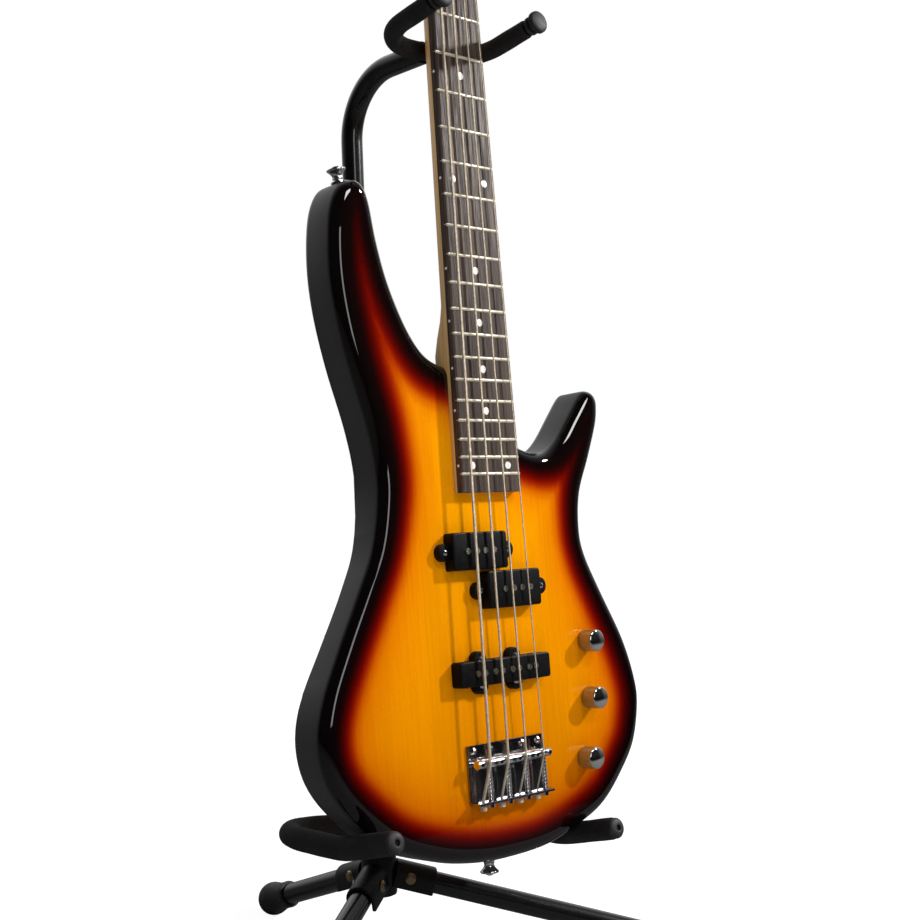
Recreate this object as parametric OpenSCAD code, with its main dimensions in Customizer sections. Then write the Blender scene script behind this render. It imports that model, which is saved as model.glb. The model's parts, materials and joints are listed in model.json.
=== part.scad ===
// Four-string solid-body bass guitar resting on a folding tripod stand.
// Row frame: +Z up, X to the player's treble side, Y to the back, origin on the floor.
// The guitar is drawn flat in its own frame (x treble, y bridge to nut, z out of the face,
// origin on the top at the middle of the saddle line) and then leaned onto the stand.
// The stand is drawn in the frame of its post (z along the post, origin between the leg pivots).

/* [Guitar body] */
// Thickness of the body
body_t = 40; // [34:0.5:46]
// Radius of the rounded edge round the top
edge_top_r = 8; // [4:0.5:8]
// Radius of the rounded edge round the back
edge_back_r = 7; // [4:0.5:8]
// Depth of the belly contour at its deepest point
belly_depth = 12; // [4:0.5:16]
// Depth of the pocket that the neck heel sits in
neck_pocket_depth = 16; // [13:0.5:20]
// Depth of the pickup cavities
pickup_cavity_depth = 20; // [16:0.5:24]
// Thickness of the top above the control cavity
cavity_top_t = 7; // [5:0.5:9]
// Thickness of the control cavity cover
cover_t = 2.5; // [1.5:0.1:4]

/* [Neck] */
// Scale length from the nut to the saddles
scale_len = 864; // [820:1:880]
// Half width of the neck at the nut
nut_half_w = 20; // [18:0.1:22]
// Half width that the taper would reach at the saddles
saddle_half_w = 34.7; // [32:0.1:37]
// Thickness of the fingerboard
board_t = 5.5; // [4.5:0.1:6.5]
// Height of the maple neck above the body's top
neck_rise = 3.5; // [2:0.1:5]
// Depth of the neck shaft below the body's top plane
shaft_depth = 12; // [10:0.5:14]
// Height of the fret crowns above the board
fret_h = 1.1; // [0.8:0.1:1.4]
// Width of a fret
fret_w = 2.4; // [1.8:0.1:3]
// Thickness of the headstock
head_t = 14; // [12:0.5:17]
// Length of the headstock beyond the nut
head_len = 196; // [180:1:215]
// Half width of the headstock across the tuners
head_half_w = 44; // [40:0.5:50]

/* [Strings and bridge] */
// Distance between two strings at the saddles
pitch_saddle = 19; // [17:0.1:20]
// Distance between two strings at the nut
pitch_nut = 9.7; // [8.5:0.1:10.5]
// Height of the string centres over the body at the saddles
string_h_saddle = 14; // [12.5:0.1:16]
// Height of the string centres over the body at the nut
string_h_nut = 12.4; // [11.8:0.1:13.5]
// Length of the bridge plate along the strings
bridge_len = 43.5; // [40:0.5:50]
// Width of the bridge plate
bridge_w = 79; // [76:0.5:86]
// Height of the bridge's back wall
bridge_wall_h = 12; // [10:0.5:15]
// Thickness of the bridge's bent plate
bridge_t = 2; // [1.5:0.1:3]
// Diameter of a barrel saddle
saddle_d = 7; // [6:0.1:8]

/* [Pickups and controls] */
// Length of one half of the split pickup, across the strings
split_len = 56; // [52:0.5:60]
// Width of one half of the split pickup, along the strings
split_w = 28.5; // [25:0.5:30]
// Length of the bridge pickup, across the strings
single_len = 94.5; // [90:0.5:98]
// Width of the bridge pickup, along the strings
single_w = 19; // [17:0.5:22]
// Height of the pickup covers over the body
pickup_h = 10.5; // [8:0.1:10.8]
// Diameter of the pole pieces
pole_d = 4.8; // [4:0.1:5.5]
// Diameter of the control knobs
knob_d = 17.4; // [15:0.1:20]
// Height of the control knobs
knob_h = 14.5; // [12:0.5:18]
// Diameter of the potentiometer shafts
pot_shaft_d = 6; // [5.5:0.05:6.5]
// Bore of the output jack, for a quarter inch plug
jack_bore = 6.5; // [6.4:0.05:6.8]
// Diameter of a strap button's flange
strap_button_d = 14.5; // [12:0.1:17]

/* [Tuners] */
// Diameter of a string post
post_d = 9.5; // [8:0.1:11]
// Height of a string post above the headstock's face
post_h = 21; // [18:0.5:26]
// Diameter of the worm wheel under the headstock
wheel_d = 18; // [16:0.2:20]
// Diameter of the worm on the key's shaft
worm_d = 7.6; // [6.5:0.1:9]
// Distance from the post's axis to the middle of the key
key_reach = 44; // [42:0.5:56]

/* [Stand] */
// Lean of the guitar from upright, in degrees
guitar_lean = 11; // [9:0.5:14]
// Lean of the stand's post from upright, in degrees
post_lean = 8; // [6:0.5:10]
// Height of the leg pivots over the floor
pivot_h = 76; // [70:1:90]
// Distance of the leg pivots from the post's axis
pivot_r = 24; // [23.8:0.1:30]
// Slope of the open legs below the hub's plane, in degrees
leg_drop = 18; // [14:0.5:24]
// Turn of each front leg from straight sideways, in degrees
front_leg_turn = 30; // [20:1:40]
// Diameter of the leg tubes
leg_d = 18; // [16:0.1:19]
// Wall of the leg tubes
leg_wall = 1.5; // [1:0.1:2.5]
// Diameter of the hinge pins of the legs
pin_d = 6; // [5:0.1:8]
// Diameter of the rubber feet at the floor
foot_d = 29; // [24:0.5:34]
// Diameter of the lower post tube
lower_tube_d = 22; // [21.5:0.1:25]
// Length of the lower post tube above the pivots
lower_tube_len = 185; // [170:5:220]
// Diameter of the upper tube with the gooseneck
upper_tube_d = 18; // [16:0.1:18.4]
// Height of the gooseneck's bend above the pivots
gooseneck_z = 615; // [590:1:640]
// Radius of the gooseneck's bend
gooseneck_r = 52; // [40:1:60]
// Straight length of the gooseneck before the yoke
gooseneck_end = 44; // [36:1:60]
// Most that the upper tube can be let down
height_travel = 100; // [60:5:120]

/* [Neck yoke] */
// Half distance between the yoke's arms
yoke_half_w = 50; // [46:0.5:60]
// Bend radius of the yoke
yoke_bend_r = 34; // [30:0.5:40]
// Straight length of each yoke arm
yoke_arm_len = 34; // [25:1:45]
// Rise of the yoke's arms towards the front, in degrees
yoke_rise = 9; // [4:0.5:14]
// Diameter of the yoke's steel rod
yoke_rod_d = 9; // [7:0.1:10]
// Diameter of the foam on the yoke
yoke_foam_d = 15; // [13:0.1:18]

/* [Body cradle] */
// Bend radius of the cradle
cradle_bend_r = 58; // [45:1:65]
// Length of the flat part of each cradle arm
cradle_flat_len = 36; // [25:1:50]
// Radius of the upward bend near the ends of the arms
cradle_rise_r = 90; // [60:1:120]
// Rise of the ends of the cradle's arms, in degrees
cradle_rise = 12; // [8:0.5:16]
// Length of the rising end of each cradle arm
cradle_end_len = 46; // [36:1:60]
// Diameter of the cradle's steel tube
cradle_rod_d = 12; // [10:0.1:13]
// Diameter of the foam on the cradle
cradle_foam_d = 17.5; // [15.5:0.1:20]

/* [Hidden] */
$fn = 48;

// Clearances that every fit below uses
running = 0.06;   // round parts that turn or slide in a bore
yoke_gap = 2.6;    // yoke's foam to the middle of the neck's back, whose treble edge comes nearer
seat_gap = 0.35;  // foam to what rests on it
slip = 0.1;       // wooden and metal parts that drop into a pocket
fine = 0.3;       // smallest gap between parts that move past each other

// ---- guitar: heights and stations ----
board_top = neck_rise + board_t;
fret_n = 24;
board_over = 14;
heel_len = 115;
heel_blend = 30;
nut_len = 4;
nut_over = 1.2;
head_face = neck_rise - 4.5;
head_back = head_face - head_t;
fret_end = 0.3;  // how far the frets stop short of the width
fret_tang_w = 0.6;
fret_tang_h = 1.8;
dot_r = 2.9;
octave_dot = 0.61;  // place of the paired dots, as a share of the half width
dot_depth = 1.5;
side_dot_r = 1.1;
function fret_y(n) = scale_len * pow(2, -n / 12);
function half_w(y) = nut_half_w + (saddle_half_w - nut_half_w) * (scale_len - y) / scale_len;
board_end = fret_y(fret_n) - board_over;
dot_frets = [3, 5, 7, 9, 15, 17, 19, 21];
double_frets = [12, 24];
function dot_y(n) = (fret_y(n) + fret_y(n - 1)) / 2;

// ---- outline of the body, as points of a closed smooth curve ----
body_points = [
    [0, -76], [45, -74], [84, -64], [112, -52], [136, -31], [154, -8], [163, 22], [161.5, 46],
    [150, 80], [127, 122], [112.5, 151], [109, 172], [113, 200], [127, 229], [139, 256], [142.3, 271],
    [141.6, 279.4], [137, 285], [130, 286], [124, 282], [112, 268], [94, 247], [79, 236.5], [65, 234],
    [50, 237], [38, 244], [34, 262], [30, 288], [10, 299], [-20, 300], [-36, 303], [-50.3, 312],
    [-64, 331.5], [-77, 361], [-85, 391], [-90, 421], [-96, 434], [-106, 437], [-118, 430], [-126.5, 410],
    [-130, 375], [-127.5, 340], [-119, 300], [-106, 256], [-100, 225], [-100, 200], [-108, 165], [-123, 135],
    [-145, 95], [-162, 60], [-168.4, 30], [-162, 1], [-142, -25], [-110, -50], [-70, -66], [-35, -73.5]
];
body_steps = 3;
horn_u = 37;
tail_u = -0.15;
jack_u = 4.5;
seat_left_u = 52.42;
seat_right_u = 2.08;
function curve(p0, p1, p2, p3, t) = 0.5 * ((2 * p1) + (p2 - p0) * t
    + (2 * p0 - 5 * p1 + 4 * p2 - p3) * t * t + (3 * p1 - p0 - 3 * p2 + p3) * t * t * t);
function curve_dir(p0, p1, p2, p3, t) = 0.5 * ((p2 - p0)
    + 2 * (2 * p0 - 5 * p1 + 4 * p2 - p3) * t + 3 * (3 * p1 - p0 - 3 * p2 + p3) * t * t);
function near(p, u, k) = p[(floor(u) + k + len(p)) % len(p)];
function smooth_at(p, u) = curve(near(p, u, -1), near(p, u, 0), near(p, u, 1), near(p, u, 2), u - floor(u));
function edge(u) = smooth_at(body_points, u);
function edge_dir(u) = curve_dir(near(body_points, u, -1), near(body_points, u, 0),
    near(body_points, u, 1), near(body_points, u, 2), u - floor(u));
function edge_out(u) = let (d = edge_dir(u)) [d.y, -d.x] / norm(d);
round_steps = 3;

// ---- strings ----
string_names = ["e", "a", "d", "g"];
string_r = [1.2, 0.95, 0.75, 0.52];
function slot(i) = i - 1.5;
function saddle_x(i) = slot(i) * pitch_saddle;
function nut_x(i) = slot(i) * pitch_nut;
ball_h = 6.5;
ball_shift = -3;
ball_r = 2.7;
wall_y = 13.5 - bridge_len;

// ---- tuners: outer strings go to the near posts, inner strings to the far ones ----
post_x = 26;
near_post = 54;
far_post = 126;
post_waist = 1.2;
waist_z = 7.5;
waist_h = 8;
bushing_wall = 2.2;
bushing_flange = 1.8;
tree_y = 62;
tree_h = 5;
tuner_plate = [30, 32, 2];
tuner_shift = 5;
tuner_screw_at = [12.9, 13.8];
wheel_t = 5;
wheel_teeth = 14;
key_shaft_d = 5;
lug_t = 3;
lug_at = 8;
lobe_r = 6.5;
key_t = 4;
function tuner_side(i) = i < 2 ? -1 : 1;
function tuner_pos(i) = [tuner_side(i) * post_x,
    scale_len + (i == 0 || i == 3 ? near_post : far_post)];
function waist_r() = post_d / 2 - post_waist;
function worm_y() = wheel_d / 2 + worm_d / 2 + fine;
function worm_z() = head_back - tuner_plate.z - worm_d / 2 - 0.6;

// ---- pickups and controls ----
split_bass = [-18, 157.8];
split_treble = [15, 127.6];
single_at = [-0.4, 66.5];
pickup_clear = 1;
pickup_depth = 12;
pole_rise = 0.7;
ear_r = 6.6;
split_ear_out = 4;
screw_room = 3.4;
pole_pitch = 17.9;
split_pole_gap = 9.4;
single_pole_gap = 7.4;
single_ears = [-23, 13];
knobs_at = [[99, 80], [98, 34.5], [88, -12]];
knob_names = ["neck_volume_knob", "bridge_volume_knob", "tone_knob"];
knob_lift = 1;
pot_r = 8.5;
pot_h = 9;
pot_bush_r = 3.9;
pot_nut_r = 6;
pot_nut_h = 2;
cavity = [[75, -28], [117, 96]];
cavity_r = 10;
cover_lip = 7;
jack_cup_r = 14;
jack_cup_t = 2.5;
jack_body_r = 9;
jack_len = 30;
function jack_at() = edge(jack_u);
side_mid = -body_t / 2;

// ---- stand: places in the post's frame ----
hub_core_r = pivot_r - leg_d / 2 - 0.5;
hub_wall = 2.6;
hub_top = 24;
hub_base = 13;
tube_seat = -8;
bracket_len = 32;
pin_head_r = 5;
pin_head_h = 1.8;
leg_angles = [180 + front_leg_turn, -front_leg_turn, 90];
leg_names = ["left", "right", "rear"];
foot_flat = 0.8;
foot_sleeve_r = leg_d / 2 + 2.6;
foot_sleeve_len = 26;
foot_inset = 5;
function pivot(a) = [pivot_r * cos(a), pivot_r * sin(a), 0];
function pivot_height(a) = pivot_h - pivot_r * sin(a) * sin(post_lean);
function leg_fall(a) = sin(a) * cos(leg_drop) * sin(post_lean) + sin(leg_drop) * cos(post_lean);
function leg_len(a) = (pivot_height(a) - foot_d / 2 + foot_flat) / leg_fall(a);
upper_tube_start = 112;
upper_wall = 1.5;
clamp_r = 16;
clamp_len = 42;
clamp_grip = 18;
clamp_screw_r = 3;
clamp_boss_r = 7;
clamp_boss_y = 27;
clamp_knob_r = 15;
clamp_knob_t = 13;
clamp_knob_gap = 4;
clamp_z = lower_tube_len + 11;

yoke_y = -gooseneck_r - gooseneck_end;
yoke_z = gooseneck_z + gooseneck_r;
yoke_boss = 9;
yoke_plug = 14;
cap_gap = 1.5;

// ---- guitar on the stand: the neck rests on the yoke's foam ----
lean = guitar_lean - post_lean;
guitar_x = 8;
guitar_z = 112.3;
guitar_y = yoke_y - (yoke_foam_d / 2 + yoke_gap + shaft_depth
    + (yoke_z - guitar_z) * sin(lean)) / cos(lean);
function to_stand(p) = [p.x + guitar_x, p.y * sin(lean) - p.z * cos(lean) + guitar_y,
    p.y * cos(lean) + p.z * sin(lean) + guitar_z];

// ---- cradle: its two arms meet the lower edge of the body ----
arm_out = cradle_foam_d / 2 + seat_gap;
function seat_point(u) = let (p = edge(u) + edge_out(u) * arm_out) to_stand([p.x, p.y, -edge_top_r]);
arm_left = seat_point(seat_left_u);
arm_right = seat_point(seat_right_u);
arm_span = [arm_right.x - arm_left.x, arm_left.z - arm_right.z];
cradle_roll = atan2(arm_span.y, arm_span.x);
cradle_half_w = norm(arm_span) / 2;
cradle_y = -(lower_tube_d + cradle_rod_d) / 2;
arm_mid = (arm_left + arm_right) / 2;
rise_run = cradle_rise_r * sin(cradle_rise);
past_rise = cradle_y - arm_mid.y - cradle_bend_r - cradle_flat_len - rise_run;
seat_rise = cradle_rise_r * (1 - cos(cradle_rise)) + past_rise * tan(cradle_rise);
cradle_at = [arm_mid.x - seat_rise * sin(cradle_roll), cradle_y, arm_mid.z - seat_rise * cos(cradle_roll)];
cradle_block = [34, 46, 20];

// ---- row frame: the middle of the base of the whole thing ----
arm_tip_y = cradle_y - cradle_bend_r - cradle_flat_len - rise_run
    - (cradle_end_len + 4.5) * cos(cradle_rise);
arm_tip_z = cradle_at.z + cradle_half_w * sin(cradle_roll) + cradle_rise_r * (1 - cos(cradle_rise))
    + (cradle_end_len + 4.5) * sin(cradle_rise);
front_most = arm_tip_y * cos(post_lean) + arm_tip_z * sin(post_lean);
rear_most = (pivot_r + leg_len(90) * cos(leg_drop)) * cos(post_lean)
    - leg_len(90) * sin(leg_drop) * sin(post_lean) + foot_d / 2;
hub_y = -(front_most + rear_most) / 2;

// ---- placing ----
module on_stand() translate([0, hub_y, pivot_h]) rotate([-post_lean, 0, 0]) children();
module on_guitar() on_stand() translate([guitar_x, guitar_y, guitar_z]) rotate([90 - lean, 0, 0])
    children();
// Along x instead of z
module along_x() rotate([0, 90, 0]) children();
// Along -y instead of z
module along_front() rotate([90, 0, 0]) children();

// ---- shapes that repeat ----
// A stack of rings of n points each, each ring counterclockwise about the stack's direction
module lofted(points, n) {
    m = len(points) / n;
    walls = [for (i = [0:m - 2], k = [0:n - 1])
        [i * n + k, (i + 1) * n + k, (i + 1) * n + (k + 1) % n, i * n + (k + 1) % n]];
    polyhedron(points, concat([[for (k = [0:n - 1]) k]], walls,
        [[for (k = [0:n - 1]) m * n - 1 - k]]), convexity = 10);
}
// A tube swept along points
function unit(v) = v / norm(v);
function path_dir(p, i) = unit(p[min(i + 1, len(p) - 1)] - p[max(i - 1, 0)]);
function path_side(p, i) = let (d = path_dir(p, i)) unit(cross(d, abs(d.z) > 0.9 ? [1, 0, 0] : [0, 0, 1]));
function path_ring(p, i, r, n) = let (a = path_side(p, i), b = cross(path_dir(p, i), a))
    [for (k = [0:n - 1]) p[i] + r * (cos(360 * k / n) * a + sin(360 * k / n) * b)];
module swept(p, r, n = 8) lofted([for (i = [0:len(p) - 1]) each path_ring(p, i, r, n)], n);
// A U of round bar: cross bar along x, bends, straight arms to the front
module u_bar(r, half, bend_r, arm) {
    for (s = [0, 1]) mirror([s, 0, 0]) {
        along_x() cylinder(r = r, h = half - bend_r);
        translate([half - bend_r, -bend_r, 0]) rotate_extrude(angle = 90) translate([bend_r, 0]) circle(r);
        translate([half, -bend_r, 0]) along_front() cylinder(r = r, h = arm);
    }
}
module wood_screw(head_r, shank_r, len, hole) {
    translate([0, 0, -len]) cylinder(r = shank_r, h = len + (hole ? 0.01 : 0));
    if (!hole) rotate_extrude() polygon([[0, -0.01], [head_r, 0], [head_r * 0.8, head_r * 0.35],
        [head_r * 0.4, head_r * 0.55], [0, head_r * 0.6]]);
}

// ---- guitar: body ----
function body_ring(inset, z) = [for (i = [0:len(body_points) * body_steps - 1])
    let (u = i / body_steps, p = edge(u) - edge_out(u) * inset) [p.x, p.y, z]];
// Inset and depth along a rounded edge; its first point lies just past the face, so that the face cuts it
function round_at(r, a) = [r * (1 - sin(a)), r * (1 - cos(a))];
function round_past(r) = let (on = round_at(r, 0), next = round_at(r, 90 / round_steps))
    on + 0.1 * (on - next);
function rounded(r) = [round_past(r), for (j = [1:round_steps]) round_at(r, 90 * j / round_steps)];
function back_edge(j) = let (q = rounded(edge_back_r)[j]) body_ring(q[0], q[1] - body_t);
function top_edge(j) = let (q = rounded(edge_top_r)[j]) body_ring(q[0], -q[1]);
slab = [500, 900];
belly_r = 500;
belly_at = [-160, 140];
belly_sides = 20;
belly_rings = 5;
belly_angle = 15;
// The belly contour's cutter: a shallow dome, deepest in its middle
module belly_dome() lofted([
    for (j = [0:belly_rings])
        let (a = belly_angle * (1 - (j + 0.1) / (belly_rings + 0.1)), r = belly_r * sin(a))
        each [for (k = [0:belly_sides - 1]) let (b = 360 * k / belly_sides)
            [r * cos(b), r * sin(b), belly_depth - body_t - belly_r * (1 - cos(a))]]
], belly_sides);
module body_blank() {
    n = len(body_points) * body_steps;
    difference() {
        intersection() {
            lofted([
                for (j = [0:round_steps]) each back_edge(j),
                for (j = [round_steps:-1:0]) each top_edge(j)
            ], n);
            translate([-slab.x / 2, -slab.y / 4, -body_t]) cube([slab.x, slab.y, body_t]);
        }
        translate(belly_at) belly_dome();
    }
}
module neck_plan(y0, y1, extra)
    polygon([[-half_w(y0) - extra, y0], [half_w(y0) + extra, y0], [half_w(y1) + extra, y1],
        [-half_w(y1) - extra, y1]]);
module split_plan(extra) {
    square([split_len + 2 * extra, split_w + 2 * extra], center = true);
}
module split_ears(extra) for (s = [-1, 1]) translate([s * (split_len / 2 + split_ear_out), 0])
    circle(ear_r + extra);
module single_plan(extra) translate(single_at)
    square([single_len + 2 * extra, single_w + 2 * extra], center = true);
module single_ears_plan(extra) for (x = single_ears, s = [-1, 1])
    translate([x, single_at.y + s * single_w / 2]) circle(ear_r + extra);
module cavity_plan(extra) {
    lo = cavity[0] - [extra, extra];
    hi = cavity[1] + [extra, extra];
    r = cavity_r + extra;
    translate([lo.x, lo.y + r]) square([hi.x - lo.x, hi.y - lo.y - 2 * r]);
    translate([lo.x + r, lo.y]) square([hi.x - lo.x - 2 * r, hi.y - lo.y]);
    for (x = [lo.x + r, hi.x - r], y = [lo.y + r, hi.y - r]) translate([x, y]) circle(r);
}
// Places, with z pointing out of the wood
module at_jack() let (n = edge_out(jack_u))
    translate([jack_at().x, jack_at().y, side_mid]) rotate([0, 90, atan2(n.y, n.x)]) children();
module at_strap(u) let (p = edge(u), n = edge_out(u))
    translate([p.x, p.y, side_mid]) rotate([0, 90, atan2(n.y, n.x)]) children();
module at_back() mirror([0, 0, 1]) children();
strap_h = 11;
strap_bore = 2;
wire_hole_r = 3.5;
wire_hole_z = -14;
neck_screw_r = 2.5;
neck_screw_head_r = 4.6;
neck_screw_x = 19;
neck_screw_y = [230, 276];
plate_size = [51, 64, 3];
plate_mid = 253;
module pickup_screws(hole) {
    for (c = [split_bass, split_treble], s = [-1, 1])
        translate([c.x + s * (split_len / 2 + split_ear_out), c.y, ear_h]) wood_screw(2.6, 1.4, 32, hole);
    for (x = single_ears, s = [-1, 1]) translate([x, single_at.y + s * single_w / 2, ear_h])
        wood_screw(2.6, 1.4, 32, hole);
}
ear_h = 6;
bridge_screw_x = [-34, -17, 0, 17, 34];
module bridge_screws(hole) for (x = bridge_screw_x) translate([x, wall_y + bridge_len - 4.5, bridge_t])
    wood_screw(3.1, 1.7, 24, hole);
module cover_screws(hole) for (x = [cavity[0].x - 3.5, cavity[1].x + 3.5],
    y = [cavity[0].y + 8, 34, cavity[1].y - 8])
    at_back() translate([x, y, body_t]) wood_screw(2.6, 1.4, 12, hole);
module strap_screws(hole) for (u = [horn_u, tail_u]) at_strap(u) translate([0, 0, strap_h])
    wood_screw(3.6, strap_bore, 38, hole);
module jack_screws(hole) at_jack() for (s = [-1, 1]) translate([0, s * 10.8, -1])
    wood_screw(1.9, 1.1, 14, hole);
module tree_screw(hole) translate([0, scale_len + tree_y, tree_top()]) wood_screw(2.4, 1.2, 18, hole);
module tuner_screws(hole) for (i = [0:3], s = [-1, 1]) let (t = tuner_pos(i))
    at_back() translate([t.x, t.y + tuner_shift, tuner_plate.z - head_back])
        translate([s * tuner_screw_at.x, -s * tuner_screw_at.y])
        wood_screw(2, 1.1, 9, hole);
module neck_screw_places() for (x = [-neck_screw_x, neck_screw_x], y = neck_screw_y)
    translate([x, y, -body_t - plate_size.z]) children();

// The body is glued up from a core and two wings, cut along two straight joints beside the neck
glue_x = [-60, 62];
module body_length(x0, x1) intersection() {
    body_blank();
    translate([x0, -slab.y / 4, -body_t]) cube([x1 - x0, slab.y, body_t]);
}
module body_part(x0, x1) {
    color([0.78, 0.4, 0.05]) on_guitar() difference() {
        body_length(x0, x1);
        translate([0, 0, -neck_pocket_depth]) linear_extrude(neck_pocket_depth + 5)
            neck_plan(board_end - slip, scale_len / 2, slip);
        for (c = [split_bass, split_treble]) translate([c.x, c.y, -pickup_cavity_depth])
            linear_extrude(pickup_cavity_depth + 5) union() {
                split_plan(pickup_clear);
                split_ears(pickup_clear);
            }
        translate([0, 0, -pickup_cavity_depth]) linear_extrude(pickup_cavity_depth + 5) union() {
            single_plan(pickup_clear);
            single_ears_plan(pickup_clear);
        }
        translate([0, 0, -body_t - 5]) linear_extrude(body_t + 5 - cavity_top_t) cavity_plan(0);
        translate([0, 0, -body_t - 5]) linear_extrude(5 + cover_t) cavity_plan(cover_lip);
        translate([single_at.x + single_len / 2, single_at.y, wire_hole_z]) along_x()
            cylinder(r = wire_hole_r, h = cavity[0].x - single_at.x - single_len / 2 + 2);
        for (k = knobs_at) translate([k.x, k.y, -cavity_top_t - 1]) cylinder(r = pot_bush_r, h = 20);
        at_jack() translate([0, 0, -jack_len - 6]) cylinder(r = jack_body_r, h = jack_len + 20);
        at_jack() translate([0, 0, -1 - jack_cup_t]) cylinder(r = jack_cup_r, h = 20);
        neck_screw_places() cylinder(r = neck_screw_r, h = body_t + 10);
        pickup_screws(true);
        bridge_screws(true);
        cover_screws(true);
        strap_screws(true);
        jack_screws(true);
    }
}
module body_core() body_part(glue_x[0], glue_x[1]);
module bass_wing() body_part(-slab.x / 2, glue_x[0]);
module treble_wing() body_part(glue_x[1], slab.x / 2);

// ---- guitar: neck ----
head_points = [
    [nut_half_w + 0.4, 8], [nut_half_w + 2, 18], [head_half_w - 9, 33], [head_half_w, 52],
    [head_half_w - 0.5, 90], [head_half_w - 2.5, 140], [head_half_w - 9, 170],
    [head_half_w - 22, head_len - 8], [9, head_len], [0, head_len - 4]
];
function mirrored(p) = [for (k = [len(p) - 1:-1:0]) if (p[k].x > 0) [-p[k].x, p[k].y]];
function head_curve() = concat(head_points, mirrored(head_points));
module head_plan() translate([0, scale_len]) polygon([
    [-nut_half_w + 3, -6], [nut_half_w - 3, -6],
    for (i = [0:(len(head_curve()) - 1) * 4]) smooth_at(head_curve(), i / 4)
]);
// The neck is glued up from three lengths: a square heel, the shaft, and a headstock scarfed on under the nut.
// Stations along each: place, depth below the top plane, squareness of the back
heel_joint = board_end + heel_len + heel_blend;
scarf_len = 60;
scarf_angle = 16;
heel_stations = [
    [board_end, neck_pocket_depth, 9], [board_end + heel_len - 8, neck_pocket_depth, 9],
    [board_end + heel_len + 6, neck_pocket_depth - 1.2, 5],
    [board_end + heel_len + 18, shaft_depth + 1, 3.2],
    [heel_joint, shaft_depth, 2.5]
];
shaft_stations = [
    [heel_joint, shaft_depth, 2.5], [520, shaft_depth, 2.3], [700, shaft_depth, 2.2],
    [scale_len - 3, shaft_depth, 2.2]
];
head_stations = [
    [scale_len - scarf_len - 4, shaft_depth, 2.2], [scale_len - 30, shaft_depth, 2.2],
    [scale_len - 8, shaft_depth + 1.6, 2.4], [scale_len + nut_len + 1, -head_back - 0.6, 3]
];
neck_sides = 32;
// One half-round section, counterclockwise about +y
function neck_ring(s) = let (w = half_w(min(s[0], scale_len)), d = s[1] + neck_rise, e = 2 / s[2]) [
    for (k = [0:neck_sides]) let (a = 180 * k / neck_sides)
        [w * sign(cos(a)) * pow(abs(cos(a)), e), s[0], neck_rise - d * pow(sin(a), e)]
];
module neck_length(stations) lofted([for (s = stations) each neck_ring(s)], neck_sides + 1);
module beyond_scarf() translate([0, scale_len - scarf_len, -shaft_depth]) rotate([scarf_angle, 0, 0])
    translate([-head_half_w - 5, -scarf_len, -60])
        cube([2 * head_half_w + 10, head_len + 3 * scarf_len, 60]);
rod_r = 3;
rod_z = -3.5;
rod_start = 232;
rod_nut_r = 4;
rod_nut_len = 9;
module truss_path(extra) translate([0, rod_start, rod_z]) rotate([-90, 0, 0])
    cylinder(r = rod_r + extra, h = scale_len + 12 - rod_start + extra);
module neck_heel() {
    color([0.82, 0.62, 0.36]) on_guitar() difference() {
        neck_length(heel_stations);
        truss_path(slip);
        neck_screw_places() cylinder(r = neck_screw_r, h = body_t + plate_size.z - 6);
    }
}
module neck() {
    color([0.82, 0.62, 0.36]) on_guitar() difference() {
        neck_length(shaft_stations);
        beyond_scarf();
        truss_path(slip);
    }
}
module headstock() {
    color([0.82, 0.62, 0.36]) on_guitar() difference() {
        intersection() {
            union() {
                neck_length(head_stations);
                translate([0, 0, head_back]) linear_extrude(head_t) head_plan();
            }
            beyond_scarf();
        }
        truss_path(slip);
        translate([-6, scale_len + nut_len + 6, rod_z - 5]) cube([12, 15, 20]);
        for (i = [0:3]) translate([tuner_pos(i).x, tuner_pos(i).y, head_back - 1])
            cylinder(r = post_d / 2 + bushing_wall, h = head_t + 2);
        tree_screw(true);
        tuner_screws(true);
    }
}
module fingerboard() {
    color([0.3, 0.24, 0.2]) on_guitar() difference() {
        translate([0, 0, neck_rise]) linear_extrude(board_t) neck_plan(board_end, scale_len, 0);
        for (n = [1:fret_n]) translate([-50, fret_y(n) - fret_tang_w / 2, board_top - fret_tang_h])
            cube([100, fret_tang_w, 5]);
        dots(1);
    }
}
module frets() {
    color([0.82, 0.82, 0.8]) on_guitar() for (n = [1:fret_n]) let (w = 2 * half_w(fret_y(n)) - fret_end)
        translate([-w / 2, fret_y(n), board_top]) rotate([90, 0, 90]) linear_extrude(w) polygon([
            [fret_tang_w / 2, 0], [fret_w / 2, 0], [fret_w * 0.42, fret_h * 0.6], [fret_w * 0.2, fret_h],
            [-fret_w * 0.2, fret_h], [-fret_w * 0.42, fret_h * 0.6], [-fret_w / 2, 0], [-fret_tang_w / 2, 0],
            [-fret_tang_w / 2, -fret_tang_h], [fret_tang_w / 2, -fret_tang_h]]);
}
module dots(over) {
    for (n = dot_frets) translate([0, dot_y(n), board_top - dot_depth])
        cylinder(r = dot_r, h = dot_depth + over);
    for (n = double_frets, s = [-1, 1])
        translate([s * octave_dot * half_w(dot_y(n)), dot_y(n), board_top - dot_depth])
        cylinder(r = dot_r, h = dot_depth + over);
    for (n = concat(dot_frets, double_frets))
        translate([-half_w(dot_y(n)) - over, dot_y(n), neck_rise + board_t / 2])
        along_x() cylinder(r = side_dot_r, h = 1.4 + over);
}
module inlay_dots() {
    color([0.93, 0.9, 0.82]) on_guitar() dots(0);
}
module nut() {
    color([0.92, 0.9, 0.84]) on_guitar() difference() {
        translate([-nut_half_w, scale_len, neck_rise])
            cube([2 * nut_half_w, nut_len, string_h_nut + nut_over - neck_rise]);
        for (i = [0:3]) translate([nut_x(i), scale_len - 5, string_h_nut]) {
            rotate([-90, 0, 0]) cylinder(r = string_r[i] + 0.02, h = 20);
            translate([-string_r[i] - 0.02, 0, 0]) cube([2 * string_r[i] + 0.04, 20, 5]);
        }
    }
}
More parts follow.
